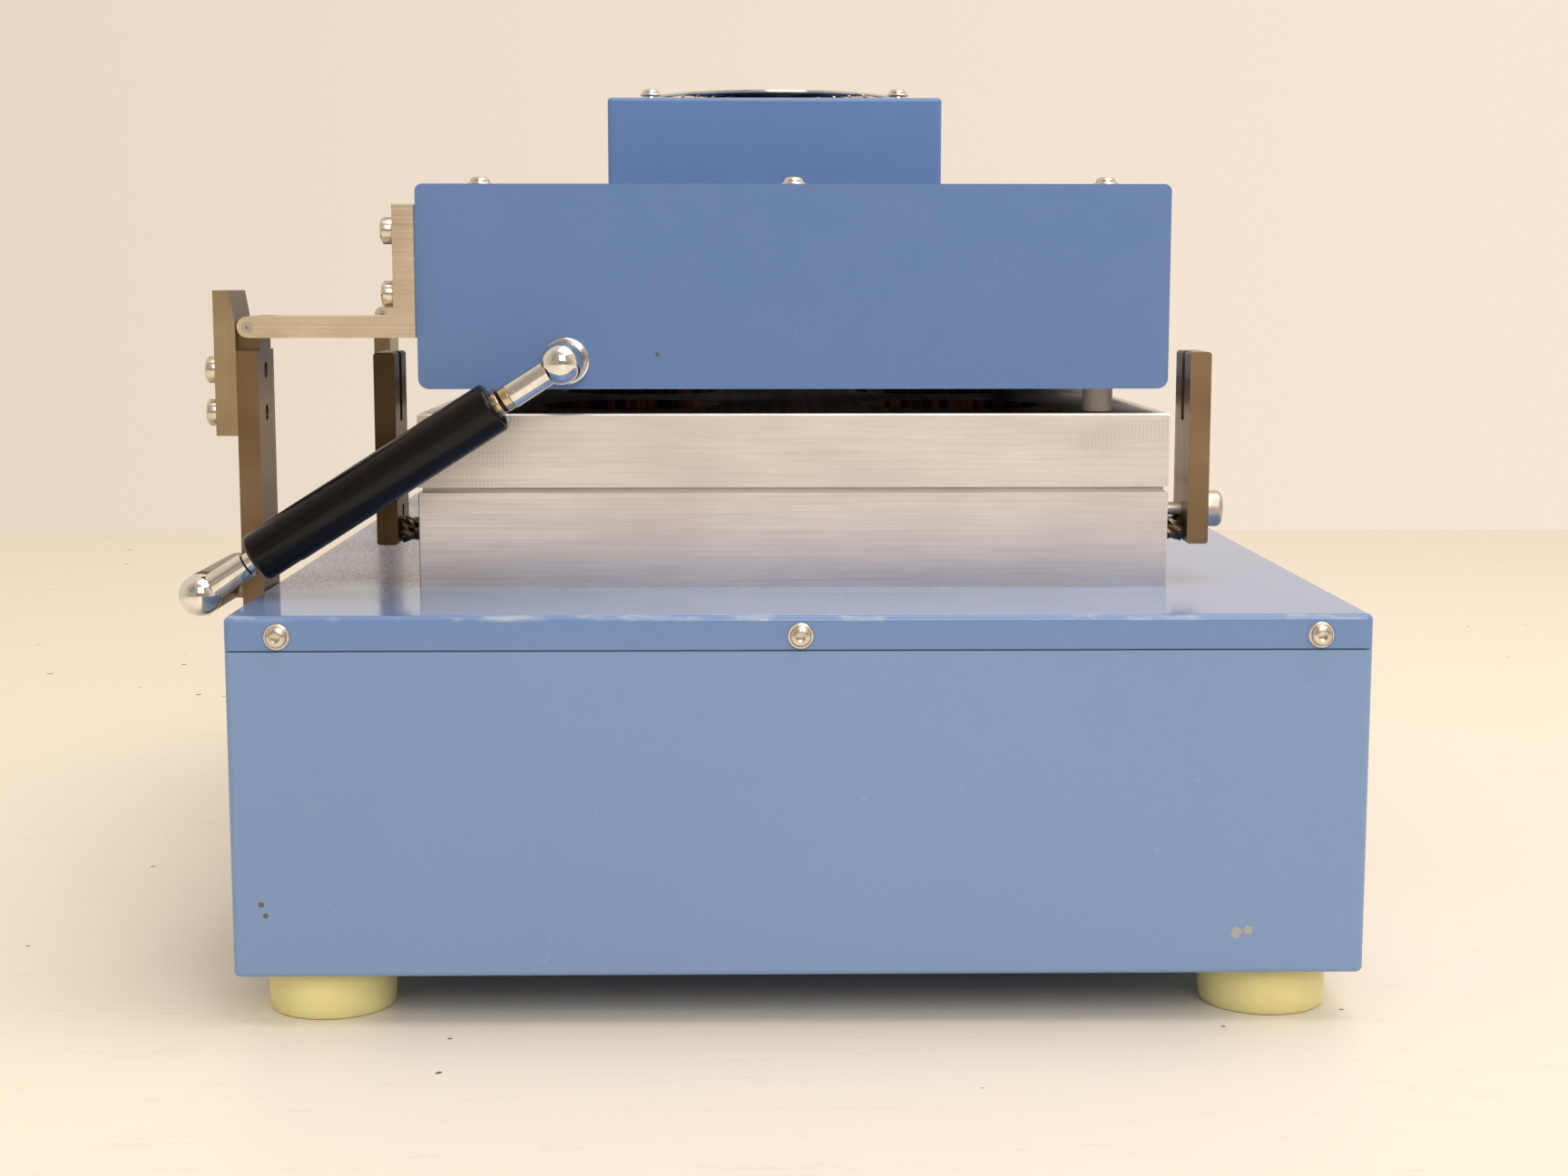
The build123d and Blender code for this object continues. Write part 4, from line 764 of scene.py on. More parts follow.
@dataclass(frozen=True)
class Glow(Finish):
    """A lit sign segment."""

    colour: Tone = tone(214, 74, 48)

    def dress(self, bench: Bench) -> None:
        """A soft glow that a faint mottle breaks up.

        Args:
            bench: the material that it is laid out on.
        """
        dim = shaded(self.colour, 0.7)
        mottled = bench.blend(bench.noise(1400.0), dim, self.colour)
        bench.set(Base_Color=mottled, Emission_Color=mottled, Emission_Strength=0.6, Roughness=0.4)


@dataclass(frozen=True)
class BenchTop(Finish):
    """The pale laminate that the machine stands on, finely scratched and freckled."""

    colour: Tone = tone(240, 233, 220)

    def dress(self, bench: Bench) -> None:
        """Scratches are thin level lines of stretched noise, and freckles are its peaks.

        Args:
            bench: the material that it is laid out on.
        """
        scratch = bench.noise(1.0, (5.0, 40.0, 1.0), 8.0)
        thin = bench.span(bench.sum("ABSOLUTE", bench.sum("SUBTRACT", scratch, 0.5)), 0.003, 0.0)
        freckle = bench.span(bench.noise(110.0, detail=0.0), 0.868, 0.885)
        marked = bench.blend(bench.sum("MULTIPLY", thin, 0.22), self.colour, tone(196, 176, 150))
        marked = bench.blend(freckle, marked, tone(92, 70, 54))
        bench.set(Base_Color=marked, Roughness=0.42, Specular_IOR_Level=0.35)


SHELL_LOW, SHELL_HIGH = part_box("base_shell")
FRONT = SHELL_LOW[1]
FLAKED = tone(172, 170, 172)
# The shell has the cover's blue paint in a lighter tone, which is painted bounce light from the
# bench top below. The chips are real.
BOUNCE_LIT_BLUE_SHELL = PowderCoat(
    "blue_shell_painted_bounce_light",
    colour=tone(125, 155, 200),
    chips=(
        Chip((SHELL_LOW[0] + 10.5 * MM, FRONT, 44.5 * MM), 1.1 * MM),
        Chip((SHELL_LOW[0] + 12.0 * MM, FRONT, 40.5 * MM), 1.0 * MM),
        Chip((SHELL_HIGH[0] - 45.5 * MM, FRONT, 33.0 * MM), 2.2 * MM, FLAKED),
        Chip((SHELL_HIGH[0] - 41.5 * MM, FRONT, 33.8 * MM), 1.8 * MM, FLAKED),
    ),
)
BLUE_LID = PowderCoat(
    "blue_lid", colour=tone(110, 142, 193), gloss=0.11, corner=tuple(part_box("base_lid")[1])
)
BLUE_COVER = PowderCoat(
    "blue_cover", chips=(Chip((-0.052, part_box("cover_shell")[0][1], 0.2345), 0.8 * MM),)
)
BLUE_FAN_BOX = PowderCoat("blue_fan_box", colour=tone(106, 140, 194))
BLOCK_LOWER = MilledAluminium("block_lower", colour=tone(246, 242, 241))
# The upper block's top carries painted shade from the cover above it.
BLOCK_UPPER = MilledAluminium(
    "block_upper", cutter_marks_from=0.098, painted_shade_within=tuple(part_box("vessel_block")[1])
)
DECK_METAL = MilledAluminium("deck_metal")
# A darker copy of the hinge steel for the hinge posts: painted shade, since the posts stand in
# shadow.
SHADED_POST_STEEL = GroundSteel("post_steel_painted_shade", colour=tone(138, 118, 94))
HINGE_STEEL = GroundSteel("hinge_steel_ground", colour=tone(184, 166, 136))
ARM_STEEL = GroundSteel("arm_steel_ground", colour=tone(236, 224, 202), grain=Grain.LEVEL)
GUIDE_STEEL = GroundSteel("guide_steel_ground", colour=tone(152, 130, 102))
# A darker copy of the guide bar steel for the left bar: painted shade from the strut's tube and the
# dark things the bar faces.
SHADED_GUIDE_STEEL = GroundSteel("guide_steel_painted_shade", colour=tone(84, 68, 50))
ANCHOR_STEEL = GroundSteel("anchor_steel_ground", colour=tone(150, 136, 116))
LUMP_STEEL = TurnedSteel("weld_lump", colour=tone(96, 84, 70), roughness=0.22)
SCREW_STEEL = TurnedSteel("screw_steel", roughness=0.2)
KNOB_STEEL = TurnedSteel("knob_steel", colour=tone(200, 192, 180), roughness=0.36)
BEARING_STEEL = TurnedSteel("bearing_steel_turned", roughness=0.25)
CHROME = TurnedSteel("chrome_plate", colour=tone(236, 234, 230), roughness=0.06)
WIRE_CHROME = TurnedSteel("wire_chrome", colour=tone(232, 230, 224), roughness=0.12)
GOLD = TurnedSteel("golden_collar", colour=tone(214, 196, 160), roughness=0.2)
MAGNET_NICKEL = TurnedSteel("magnet_nickel_plate", colour=tone(214, 210, 200), roughness=0.14)
TUBE_LACQUER = Lacquer("strut_lacquer")
MOTOR_LACQUER = Lacquer("motor_lacquer", colour=tone(44, 44, 48))
FOOT_RUBBER = Moulding(
    "foot_urethane", colour=tone(250, 238, 170), roughness=0.42, texture=320.0, milky=0.55
)
POST_PLASTIC = Moulding("post_plastic", colour=tone(206, 196, 186), roughness=0.38)
PANEL_PLASTIC = Moulding("panel_plastic", colour=tone(44, 46, 50), roughness=0.42)
FAN_PLASTIC = Moulding("fan_plastic", colour=tone(30, 30, 32), roughness=0.36)
KNOB_PLASTIC = Moulding("knob_plastic", colour=tone(62, 64, 68), roughness=0.34)
ROCKER_PLASTIC = Moulding("rocker_plastic", colour=tone(26, 26, 28), roughness=0.22)
INLET_PLASTIC = Moulding("inlet_plastic", colour=tone(28, 28, 30), roughness=0.4)
DISPLAY_PLASTIC = Moulding(
    "display_plastic", colour=tone(18, 12, 14), roughness=0.06, texture=200.0
)
ROTOR_PLASTIC = Moulding("rotor_acetal", colour=tone(236, 236, 230), roughness=0.35)
BELT_RUBBER = Moulding("belt_rubber_matt", colour=tone(34, 33, 32), roughness=0.7)
MAT_RUBBER = Moulding("mat_silicone", colour=tone(208, 198, 186), roughness=0.6)
MARK_PAINT = Moulding("mark_paint", colour=tone(226, 226, 220), roughness=0.45)
BOARD_GREEN = Board("board_coating")
SEGMENT_GLOW = Glow("segment_glow")


# ------------------------------------------------------------------ pieces
@dataclass(frozen=True)
class Piece:
    """What a new piece is called, what it rides on, and what it is made of."""

    name: str
    body: str
    slot: str
    finish: Finish
    stands_for: tuple[str, ...] = ()
    crease_deg: float = 34.0

    def make(self, grids: Sequence[Grid]) -> bpy.types.Object:
        """Joins grids into one closed mesh, welds its seams and poles, and sends it on its body.

        Args:
            grids: the piece's surfaces.

        Returns:
            The finished object.
        """
        counts = [grid.points.shape[0] * grid.points.shape[1] for grid in grids]
        starts = np.cumsum([0] + counts[:-1])
        points = np.concatenate([grid.points.reshape(-1, 3) for grid in grids])
        faces = np.concatenate([grid.quads() + start for grid, start in zip(grids, starts)])
        mesh = bpy.data.meshes.new(self.name)
        mesh.from_pydata(points.tolist(), [], faces.tolist())
        welded = bmesh.new()
        welded.from_mesh(mesh)
        bmesh.ops.remove_doubles(welded, verts=welded.verts, dist=2e-6)
        bmesh.ops.dissolve_degenerate(welded, edges=welded.edges, dist=1e-7)
        bmesh.ops.recalc_face_normals(welded, faces=welded.faces)
        welded.to_mesh(mesh)
        welded.free()
        mesh.polygons.foreach_set("use_smooth", np.ones(len(mesh.polygons), dtype=bool))
        mesh.set_sharp_from_angle(angle=math.radians(self.crease_deg))
        mesh.materials.append(self.finish.material())
        made = bpy.data.objects.new(self.name, mesh)
        bpy.context.scene.collection.objects.link(made)
        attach(made, self.body)
        if self.stands_for:
            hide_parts(*self.stands_for)
        log.info("piece %s: %d faces on %s", self.name, len(mesh.polygons), self.body)
        return made


def finish_nodes(finishes: dict[str, Finish]) -> None:
    """Gives CAD nodes their finishes and leaves their shapes alone.

    Args:
        finishes: the finish for each node's name.
    """
    for name, finish in finishes.items():
        for slot in frame["nodes"][name].material_slots:
            slot.material = finish.material()
    log.info("finished nodes: %s", ", ".join(finishes))


def joint(name: str) -> dict:
    """Returns one joint of the frame by its name."""
    return next(entry for entry in frame["joints"] if entry["name"] == name)


@dataclass(frozen=True)
class FlangedScrew:
    """An M4 button-head screw with a pressed flange and a hexagon socket."""

    flange: float = 4.7 * MM
    rim: float = 0.9 * MM
    dome: float = 3.8 * MM
    height: float = 2.9 * MM
    socket: float = 1.5 * MM
    shank: float = 1.95 * MM
    reach: float = 5.0 * MM

    def grid(self, place: Stand) -> Grid:
        """The whole screw in one turned surface, from the shank's tip to the socket's floor.

        The dome is a quarter ellipse between the flange and the socket's mouth.

        Args:
            place: where the flange sits down, facing out.

        Returns:
            The closed grid.
        """
        swing = np.linspace(0, TURN / 4, 7)
        mouth = 1.18 * self.socket
        dome_radius = mouth + (self.dome - mouth) * np.cos(swing)
        dome_height = self.rim + (self.height - self.rim) * np.sin(swing)
        below = [
            (0.0, -self.reach),
            (0.8 * self.shank, -self.reach),
            (self.shank, -self.reach + 0.4 * MM),
            (self.shank, 0.0),
            (self.flange - 0.2 * MM, 0.0),
            (self.flange, 0.25 * MM),
            (self.flange - 0.15 * MM, 0.7 * self.rim),
            (self.flange - 0.5 * MM, self.rim),
            (self.dome + 0.12 * MM, self.rim),
        ]
        inside = [(self.socket, self.height - 0.25 * MM), (self.socket, 0.9 * MM), (0.0, 0.6 * MM)]
        profile = below + list(zip(dome_radius, dome_height)) + inside
        outlines = [Outline.ROUND] * (len(profile) - 3) + [Outline.HEXAGON] * 3
        return turned(place, profile, 36, outlines)


@dataclass(frozen=True)
class CapScrew:
    """An M6 socket cap screw with a knurled head."""

    head: float = 5.0 * MM
    height: float = 6.0 * MM
    socket: float = 2.8 * MM
    shank: float = 2.9 * MM
    reach: float = 12.0 * MM

    def grid(self, place: Stand) -> Grid:
        """Shank, knurled head, chamfer and hexagon socket as one turned surface.

        Args:
            place: where the head sits down, facing out.

        Returns:
            The closed grid.
        """
        plain, hexagon, knurl = Outline.ROUND, Outline.HEXAGON, Outline.KNURLED
        rows = [
            (0.0, -self.reach, plain),
            (0.85 * self.shank, -self.reach, plain),
            (self.shank, -self.reach + 0.6 * MM, plain),
            (self.shank, 0.0, plain),
            (self.head - 0.3 * MM, 0.0, plain),
            (self.head, 0.35 * MM, knurl),
            (self.head, self.height - 1.1 * MM, knurl),
            (self.head - 0.1 * MM, self.height - 0.7 * MM, plain),
            (self.head - 0.7 * MM, self.height, plain),
            (self.socket + 0.5 * MM, self.height, plain),
            (self.socket, self.height - 0.35 * MM, hexagon),
            (self.socket, self.height - 3.2 * MM, hexagon),
            (0.0, self.height - 3.7 * MM, hexagon),
        ]
        profile = [(radius, level) for radius, level, _ in rows]
        return turned(place, profile, 72, [row[2] for row in rows])


# ------------------------------------------------------------------ sub-assemblies
@dataclass
class Housing:
    """The painted base with its lid, its feet and their screws."""

    screw_spread: float = 181.5 * MM
    side_pitch: float = 90.0 * MM
    screw_level: float = 4.8 * MM
    foot_inset: float = 30.0 * MM
    foot_radius: float = 23.0 * MM
    foot_height: float = 18.0 * MM

    def __post_init__(self) -> None:
        """Takes the lid's corners from the frame."""
        self.low, self.high = (tuple(corner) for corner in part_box("base_lid"))

    def lid_screws(self) -> None:
        """Three screws in each side of the lid's skirt."""
        z = self.low[2] + self.screw_level
        places = [Stand((x, y, z), (0, np.sign(y), 0)) for y in (self.low[1], self.high[1])
                  for x in (-self.screw_spread, 0.0, self.screw_spread)]
        places += [Stand((x, y, z), (np.sign(x), 0, 0)) for x in (self.low[0], self.high[0])
                   for y in (-self.side_pitch, 0.0, self.side_pitch)]
        screw = FlangedScrew(reach=2.2 * MM)
        Piece("lid_screws_formed", "base", "bright_screws", SCREW_STEEL, ("base_lid_screws",)).make(
            [screw.grid(place) for place in places]
        )

    def feet(self) -> None:
        """Cast feet with a slight barrel, soft rims and the screw's recess underneath."""
        bulge = np.sin(np.linspace(0, TURN / 2, 9))[1:-1]
        heights = np.linspace(0, self.foot_height, 9)[1:-1]
        wall = list(zip(self.foot_radius - 0.5 * MM + 0.5 * MM * bulge, heights))
        profile = [
            (3.4 * MM, 8.0 * MM),
            (5.4 * MM, 8.0 * MM),
            (5.4 * MM, 0.4 * MM),
            (5.8 * MM, 0.0),
            (self.foot_radius - 1.6 * MM, 0.0),
            (self.foot_radius - 0.7 * MM, 0.5 * MM),
            *wall,
            (self.foot_radius - 1.3 * MM, self.foot_height),
            (3.4 * MM, self.foot_height),
            (3.4 * MM, 8.0 * MM),
        ]
        spots = [(sx * (self.high[0] - self.foot_inset), sy * (self.high[1] - self.foot_inset))
                 for sx in (-1, 1) for sy in (-1, 1)]
        Piece("feet_cast", "base", "foot_elastomer", FOOT_RUBBER, ("feet",)).make(
            [turned(Stand((x, y, 0.0)), profile, 72) for x, y in spots]
        )

    def build(self) -> None:
        """Makes the pieces and finishes the painted sheets."""
        self.lid_screws()
        self.feet()
        # The shell's lighter tone is painted bounce light.
        finish_nodes({"base_shell": BOUNCE_LIT_BLUE_SHELL, "base_lid": BLUE_LID, "foot_screws": SCREW_STEEL})


@dataclass
class Controls:
    """The panel on the user's side and the mains inlet behind."""

    knob_radius: float = 17.0 * MM
    tick_circle: float = 23.5 * MM
    digit_height: float = 11.0 * MM
    digit_width: float = 6.0 * MM
    digit_pitch: float = 10.5 * MM
    recess: float = 15.0 * MM
    sign_offset: float = 19.5 * MM
    sign_half: float = 2.2 * MM
    contact_reach: float = 6.3 * MM
    reading: str = "400"
    strokes: dict[str, str] = field(default_factory=lambda: {"4": "bcfg", "0": "abcdef"})

    def __post_init__(self) -> None:
        """Takes the panel's face and the centres from the frame."""
        self.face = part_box("control_panel")[1][0]
        self.knob_at = joint("speed_knob_turn")["pos_m"]
        self.switch_at = joint("power_switch_rock")["pos_m"]

    def knob(self) -> None:
        """A fluted grip over a plain skirt, with a raised pointer line on its cap."""
        low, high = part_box("speed_knob")
        length, radius = high[0] - low[0], self.knob_radius
        stand = Stand((low[0], self.knob_at[1], self.knob_at[2]), (1, 0, 0))
        plain, grip = Outline.ROUND, Outline.GRIP
        rows = [
            (3.1 * MM, 0.8 * length, plain),
            (3.1 * MM, 0.0, plain),
            (radius - 0.8 * MM, 0.0, plain),
            (radius, 0.8 * MM, plain),
            (radius, 3.4 * MM, plain),
            (radius - 0.6 * MM, 4.0 * MM, plain),
            (radius - 1.3 * MM, 5.4 * MM, grip),
            (radius - 2.4 * MM, length - 2.2 * MM, grip),
            (radius - 3.0 * MM, length - 0.9 * MM, plain),
            (radius - 4.2 * MM, length - 0.4 * MM, plain),
            (radius - 6.0 * MM, length - 0.7 * MM, plain),
            (0.0, length - 0.7 * MM, plain),
        ]
        profile = [(distance, level) for distance, level, _ in rows]
        outer = turned(stand, profile, 144, [row[2] for row in rows])
        roof = turned(stand, [(0.0, 0.8 * length), (3.1 * MM, 0.8 * length)], 144)
        Piece(
            "speed_knob_moulded", "speed_knob", "knob_grey", KNOB_PLASTIC, ("speed_knob",)
        ).make([outer, roof])
        line_at = (high[0] - 0.75 * MM, self.knob_at[1], self.knob_at[2] + 0.42 * radius)
        line = pad(Stand(line_at, (1, 0, 0)), 0.7 * MM, 0.3 * radius, 0.5 * MM)
        Piece("speed_knob_line", "speed_knob", "knob_grey", MARK_PAINT).make([line])

    def marks(self) -> None:
        """Eleven ticks round the knob, and a bar and a ring beside the switch."""
        grids = []
        for angle in np.radians(np.linspace(-135, 135, 11)):
            outward = np.array((0.0, math.sin(angle), math.cos(angle)))
            start = np.array([self.face - 0.05 * MM, self.knob_at[1], self.knob_at[2]])
            first = start + (self.tick_circle - self.sign_half) * outward
            last = start + (self.tick_circle + self.sign_half) * outward
            grids.append(swept(np.linspace(first, last, 6), 0.35 * MM, 8))
        centre = np.array([self.face - 0.05 * MM, self.switch_at[1], self.switch_at[2]])
        bar = centre + np.array([0, 0, self.sign_offset])
        grids.append(swept(np.linspace(bar - [0, 0, 2 * MM], bar + [0, 0, 2 * MM], 5), 0.4 * MM, 8))
        ring = np.arange(32) * TURN / 32
        round_path = [np.zeros(32), self.sign_half * np.cos(ring), self.sign_half * np.sin(ring)]
        circle = centre - [0, 0, self.sign_offset] + np.stack(round_path, axis=1)
        grids.append(swept(circle, 0.35 * MM, 8, joined=True))
        Piece("panel_marks", "base", "panel_dark", MARK_PAINT).make(grids)

    def digits(self) -> None:
        """Three lit seven-stroke figures on the display."""
        half_w, half_h = self.digit_width / 2, self.digit_height / 2
        ends = {
            "a": ((-half_w, half_h), (half_w, half_h)),
            "b": ((half_w, half_h), (half_w, 0)),
            "c": ((half_w, 0), (half_w, -half_h)),
            "d": ((-half_w, -half_h), (half_w, -half_h)),
            "e": ((-half_w, -half_h), (-half_w, 0)),
            "f": ((-half_w, 0), (-half_w, half_h)),
            "g": ((-half_w, 0), (half_w, 0)),
        }
        low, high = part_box("display_window")
        level, middle = high[0], (low[2] + high[2]) / 2
        grids = []
        for place, figure in enumerate(self.reading):
            shift = (place - (len(self.reading) - 1) / 2) * self.digit_pitch
            for stroke in self.strokes[figure]:
                first, last = np.array(ends[stroke][0]), np.array(ends[stroke][1])
                trim = 0.14 * (last - first)
                inner = np.linspace(first + trim, last - trim, 4)
                path = [np.full(4, level), inner[:, 0] + shift, inner[:, 1] + middle]
                path = np.stack(path, axis=1)
                grids.append(swept(path, 0.5 * MM, 8))
        Piece("display_figures", "base", "display_gloss", SEGMENT_GLOW).make(grids)

    def inlet_pins(self) -> None:
        """Bright sheaths on the inlet's three contacts."""
        low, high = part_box("mains_inlet")
        y, z = (low[1] + high[1]) / 2, (low[2] + high[2]) / 2
        spots = [(y - 7 * MM, z - 1 * MM), (y + 7 * MM, z - 1 * MM), (y, z + 3 * MM)]
        root = low[0] + self.recess + 0.1 * MM
        grids = [
            pad(Stand((root, *spot), (-1, 0, 0)), 1.1 * MM, 2.15 * MM, self.contact_reach)
            for spot in spots
        ]
        Piece("inlet_contacts", "base", "bright_screws", SCREW_STEEL).make(grids)

    def build(self) -> None:
        """Makes the pieces and finishes the mouldings."""
        self.knob()
        self.marks()
        self.digits()
        self.inlet_pins()
        finish_nodes({
            "control_panel": PANEL_PLASTIC,
            "display_window": DISPLAY_PLASTIC,
            "power_switch": ROCKER_PLASTIC,
            "mains_inlet": INLET_PLASTIC,
            "control_board": BOARD_GREEN,
            "power_supply": DECK_METAL,
        })


@dataclass
class BlockStack:
    """The milled blocks, the mat between them and what stands on them."""

    screw_x: float = 98.2 * MM
    screw_end: float = 16.0 * MM
    screw_sink: float = 8.0 * MM
    post_x: float = 116.5 * MM
    post_end: float = 17.0 * MM
    post_radius: float = 5.75 * MM

    def __post_init__(self) -> None:
        """Takes the upper block's corners from the frame."""
        self.low, self.high = (tuple(corner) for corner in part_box("vessel_block"))
        self.middle = (self.low[0] + self.high[0]) / 2

    def screws(self) -> None:
        """Four cap screws sunk in the upper block."""
        row = self.high[1] - self.screw_end
        spots = [(self.middle + sx * self.screw_x, sy * row) for sx in (-1, 1) for sy in (-1, 1)]
        screw = CapScrew(reach=30.0 * MM)
        Piece("block_screws_formed", "base", "bright_screws", SCREW_STEEL, ("block_screws",)).make(
            [screw.grid(Stand((x, y, self.high[2] - self.screw_sink))) for x, y in spots]
        )

    def posts(self) -> None:
        """Two turned posts that the cover comes down on, with soft rims."""
        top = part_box("stop_posts")[1][2] - self.high[2]
        corners = [(0.0, 0.0), (self.post_radius, 0.0), (self.post_radius, top), (0.0, top)]
        profile = softened(corners, 0.5 * MM)
        row = self.high[1] - self.post_end
        spots = [(self.middle + self.post_x, side * row, self.high[2]) for side in (-1, 1)]
        Piece("stop_posts_turned", "base", "post_grey", POST_PLASTIC, ("stop_posts",)).make(
            [turned(Stand(spot), profile) for spot in spots]
        )

    def build(self) -> None:
        """Makes the pieces and finishes the blocks."""
        self.screws()
        self.posts()
        finish_nodes({
            "magnet_block": BLOCK_LOWER,
            "vessel_block": BLOCK_UPPER,
            "heater_mat": MAT_RUBBER,
        })


@dataclass
class Drive:
    """The belt drive inside the base: finishes only, since nothing of it shows when built."""

    stations: int = 6

    def build(self) -> None:
        """Finishes every node of the drive."""
        finishes: dict[str, Finish] = {
            "drive_deck": DECK_METAL,
            "deck_pillars": DECK_METAL,
            "drive_motor": MOTOR_LACQUER,
            "drive_belt": BELT_RUBBER,
            "rotor_bearings": BEARING_STEEL,
        }
        for number in range(1, self.stations + 1):
            finishes[f"magnet_rotor_{number}"] = ROTOR_PLASTIC
            finishes[f"rotor_magnets_{number}"] = MAGNET_NICKEL
        finish_nodes(finishes)


@dataclass
class GuideBars:
    """The upright bars beside the blocks, their welded spacers and the clamp knob."""

    spacer_radius: float = 4.7 * MM
    knob_radius: float = 7.0 * MM
    knob_length: float = 7.2 * MM
    dome: float = 2.2 * MM

    def spacers(self) -> None:
        """Lumpy weld stubs between the block's walls and the bars.

        A stub's radius is its own radius times one plus two slow sine waves of the angle and
        the length, and it flares towards the bar with the fourth power of the length.
        """
        low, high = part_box("guide_spacers")
        block_low, block_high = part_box("vessel_block")
        y, z = (low[1] + high[1]) / 2, (low[2] + high[2]) / 2
        along = np.linspace(0, 1, 16)[:, None]
        angles = np.arange(40) * TURN / 40
        lumps = 0.10 * np.sin(3 * angles + 5 * along) + 0.07 * np.sin(7 * angles - 11 * along)
        radius = self.spacer_radius * (0.86 + lumps + 0.22 * along**4)
        radius = np.concatenate([np.zeros((1, 40)), radius, np.zeros((1, 40))])
        left = (block_low[0], -1, block_low[0] - low[0])
        right = (block_high[0], 1, high[0] - block_high[0])
        grids = []
        for wall, way, length in (left, right):
            rise = np.concatenate([[[0]], along, [[1]]]) * length
            rise = np.broadcast_to(rise, radius.shape)
            local = np.stack([radius * np.cos(angles), radius * np.sin(angles), rise], -1)
            grids.append(Grid(Stand((wall, y, z), (way, 0, 0)).put(local)))
        Piece("guide_welds", "base", "guide_steel", LUMP_STEEL, ("guide_spacers",)).make(grids)

    def knob(self) -> None:
        """A turned knob: fine rings round a domed head, on its stem."""
        low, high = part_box("clamp_knob")
        at = joint("clamp_knob_turn")["pos_m"]
        back = high[0] - self.knob_length
        rings = [
            (self.knob_radius - 0.12 * MM * (step % 2), 0.9 * MM + 0.45 * MM * step)
            for step in range(9)
        ]
        swing = np.linspace(0, TURN / 4, 6)
        dome_radius = self.knob_radius - self.dome * (1 - np.cos(swing))
        dome = list(zip(dome_radius, 5.0 * MM + self.dome * np.sin(swing)))
        profile = [
            (0.0, low[0] - back),
            (2.1 * MM, low[0] - back),
            (2.5 * MM, low[0] - back + 0.4 * MM),
            (2.5 * MM, 0.0),
            (self.knob_radius - 0.7 * MM, 0.0),
            (self.knob_radius, 0.6 * MM),
            *rings,
            *dome,
            (1.2 * MM, self.knob_length),
            (0.9 * MM, self.knob_length - 0.5 * MM),
            (0.0, self.knob_length - 0.6 * MM),
        ]
        Piece("clamp_knob_turned", "clamp_knob", "bearing_steel", KNOB_STEEL, ("clamp_knob",)).make(
            [turned(Stand((back, at[1], at[2]), (1, 0, 0)), profile, 60)]
        )

    def build(self) -> None:
        """Makes the pieces and finishes the bars."""
        self.spacers()
        self.knob()
        # The left bar takes the darker copy of the steel, which is painted shade.
        finish_nodes({"guide_bar_left": SHADED_GUIDE_STEEL, "guide_bar_right": GUIDE_STEEL})


@dataclass
class Hinge:
    """Posts, a stop plate and arms in flat bar, with their cap screws."""

    plate_rises: tuple[float, float] = (8.0 * MM, 24.0 * MM)
    post_rises: tuple[float, float] = (14.0 * MM, 54.0 * MM)
    arm_rises: tuple[float, float] = (16.0 * MM, 39.6 * MM)
    shell_wall: float = 1.5 * MM
    arm_thick: float = 8.0 * MM

    def __post_init__(self) -> None:
        """Takes the bars' places from the frame."""
        self.ends = [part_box(f"hinge_post_{end}") for end in ("front", "rear")]
        self.rows = [(low[1] + high[1]) / 2 for low, high in self.ends]

    def screws(self) -> None:
        """Cap screws through the plate, through the wall into the posts, and into the cover."""
        plate_low, arm_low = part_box("hinge_plate_front")[0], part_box("hinge_arm_front")[0]
        arm_high, post_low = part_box("hinge_arm_front")[1], self.ends[0][0]
        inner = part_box("base_shell")[0][0] + self.shell_wall
        outside = [
            Stand((plate_low[0], self.rows[0], plate_low[2] + rise), (-1, 0, 0))
            for rise in self.plate_rises
        ]
        inside = [
            Stand((inner, y, post_low[2] + rise), (1, 0, 0))
            for y in self.rows
            for rise in self.post_rises
        ]
        long_screw, short_screw = CapScrew(reach=14.0 * MM), CapScrew(reach=7.4 * MM)
        Piece("hinge_screws_formed", "base", "bright_screws", SCREW_STEEL, ("hinge_screws",)).make(
            [long_screw.grid(place) for place in outside]
            + [short_screw.grid(place) for place in inside]
        )
        leg = arm_high[0] - self.arm_thick
        on_arms = [
            Stand((leg, y, arm_low[2] + rise), (-1, 0, 0))
            for y in self.rows
            for rise in self.arm_rises
        ]
        Piece(
            "arm_screws_formed", "cover", "bright_screws", SCREW_STEEL, ("hinge_arm_screws",)
        ).make([long_screw.grid(place) for place in on_arms])

    def build(self) -> None:
        """Makes the screws and finishes the bars."""
        self.screws()
        # The posts take the darker copy of the steel, which is painted shade.
        for end in ("front", "rear"):
            finish_nodes({f"hinge_post_{end}": SHADED_POST_STEEL, f"hinge_arm_{end}": ARM_STEEL})
        finish_nodes({"hinge_plate_front": HINGE_STEEL, "hinge_pins": SCREW_STEEL})


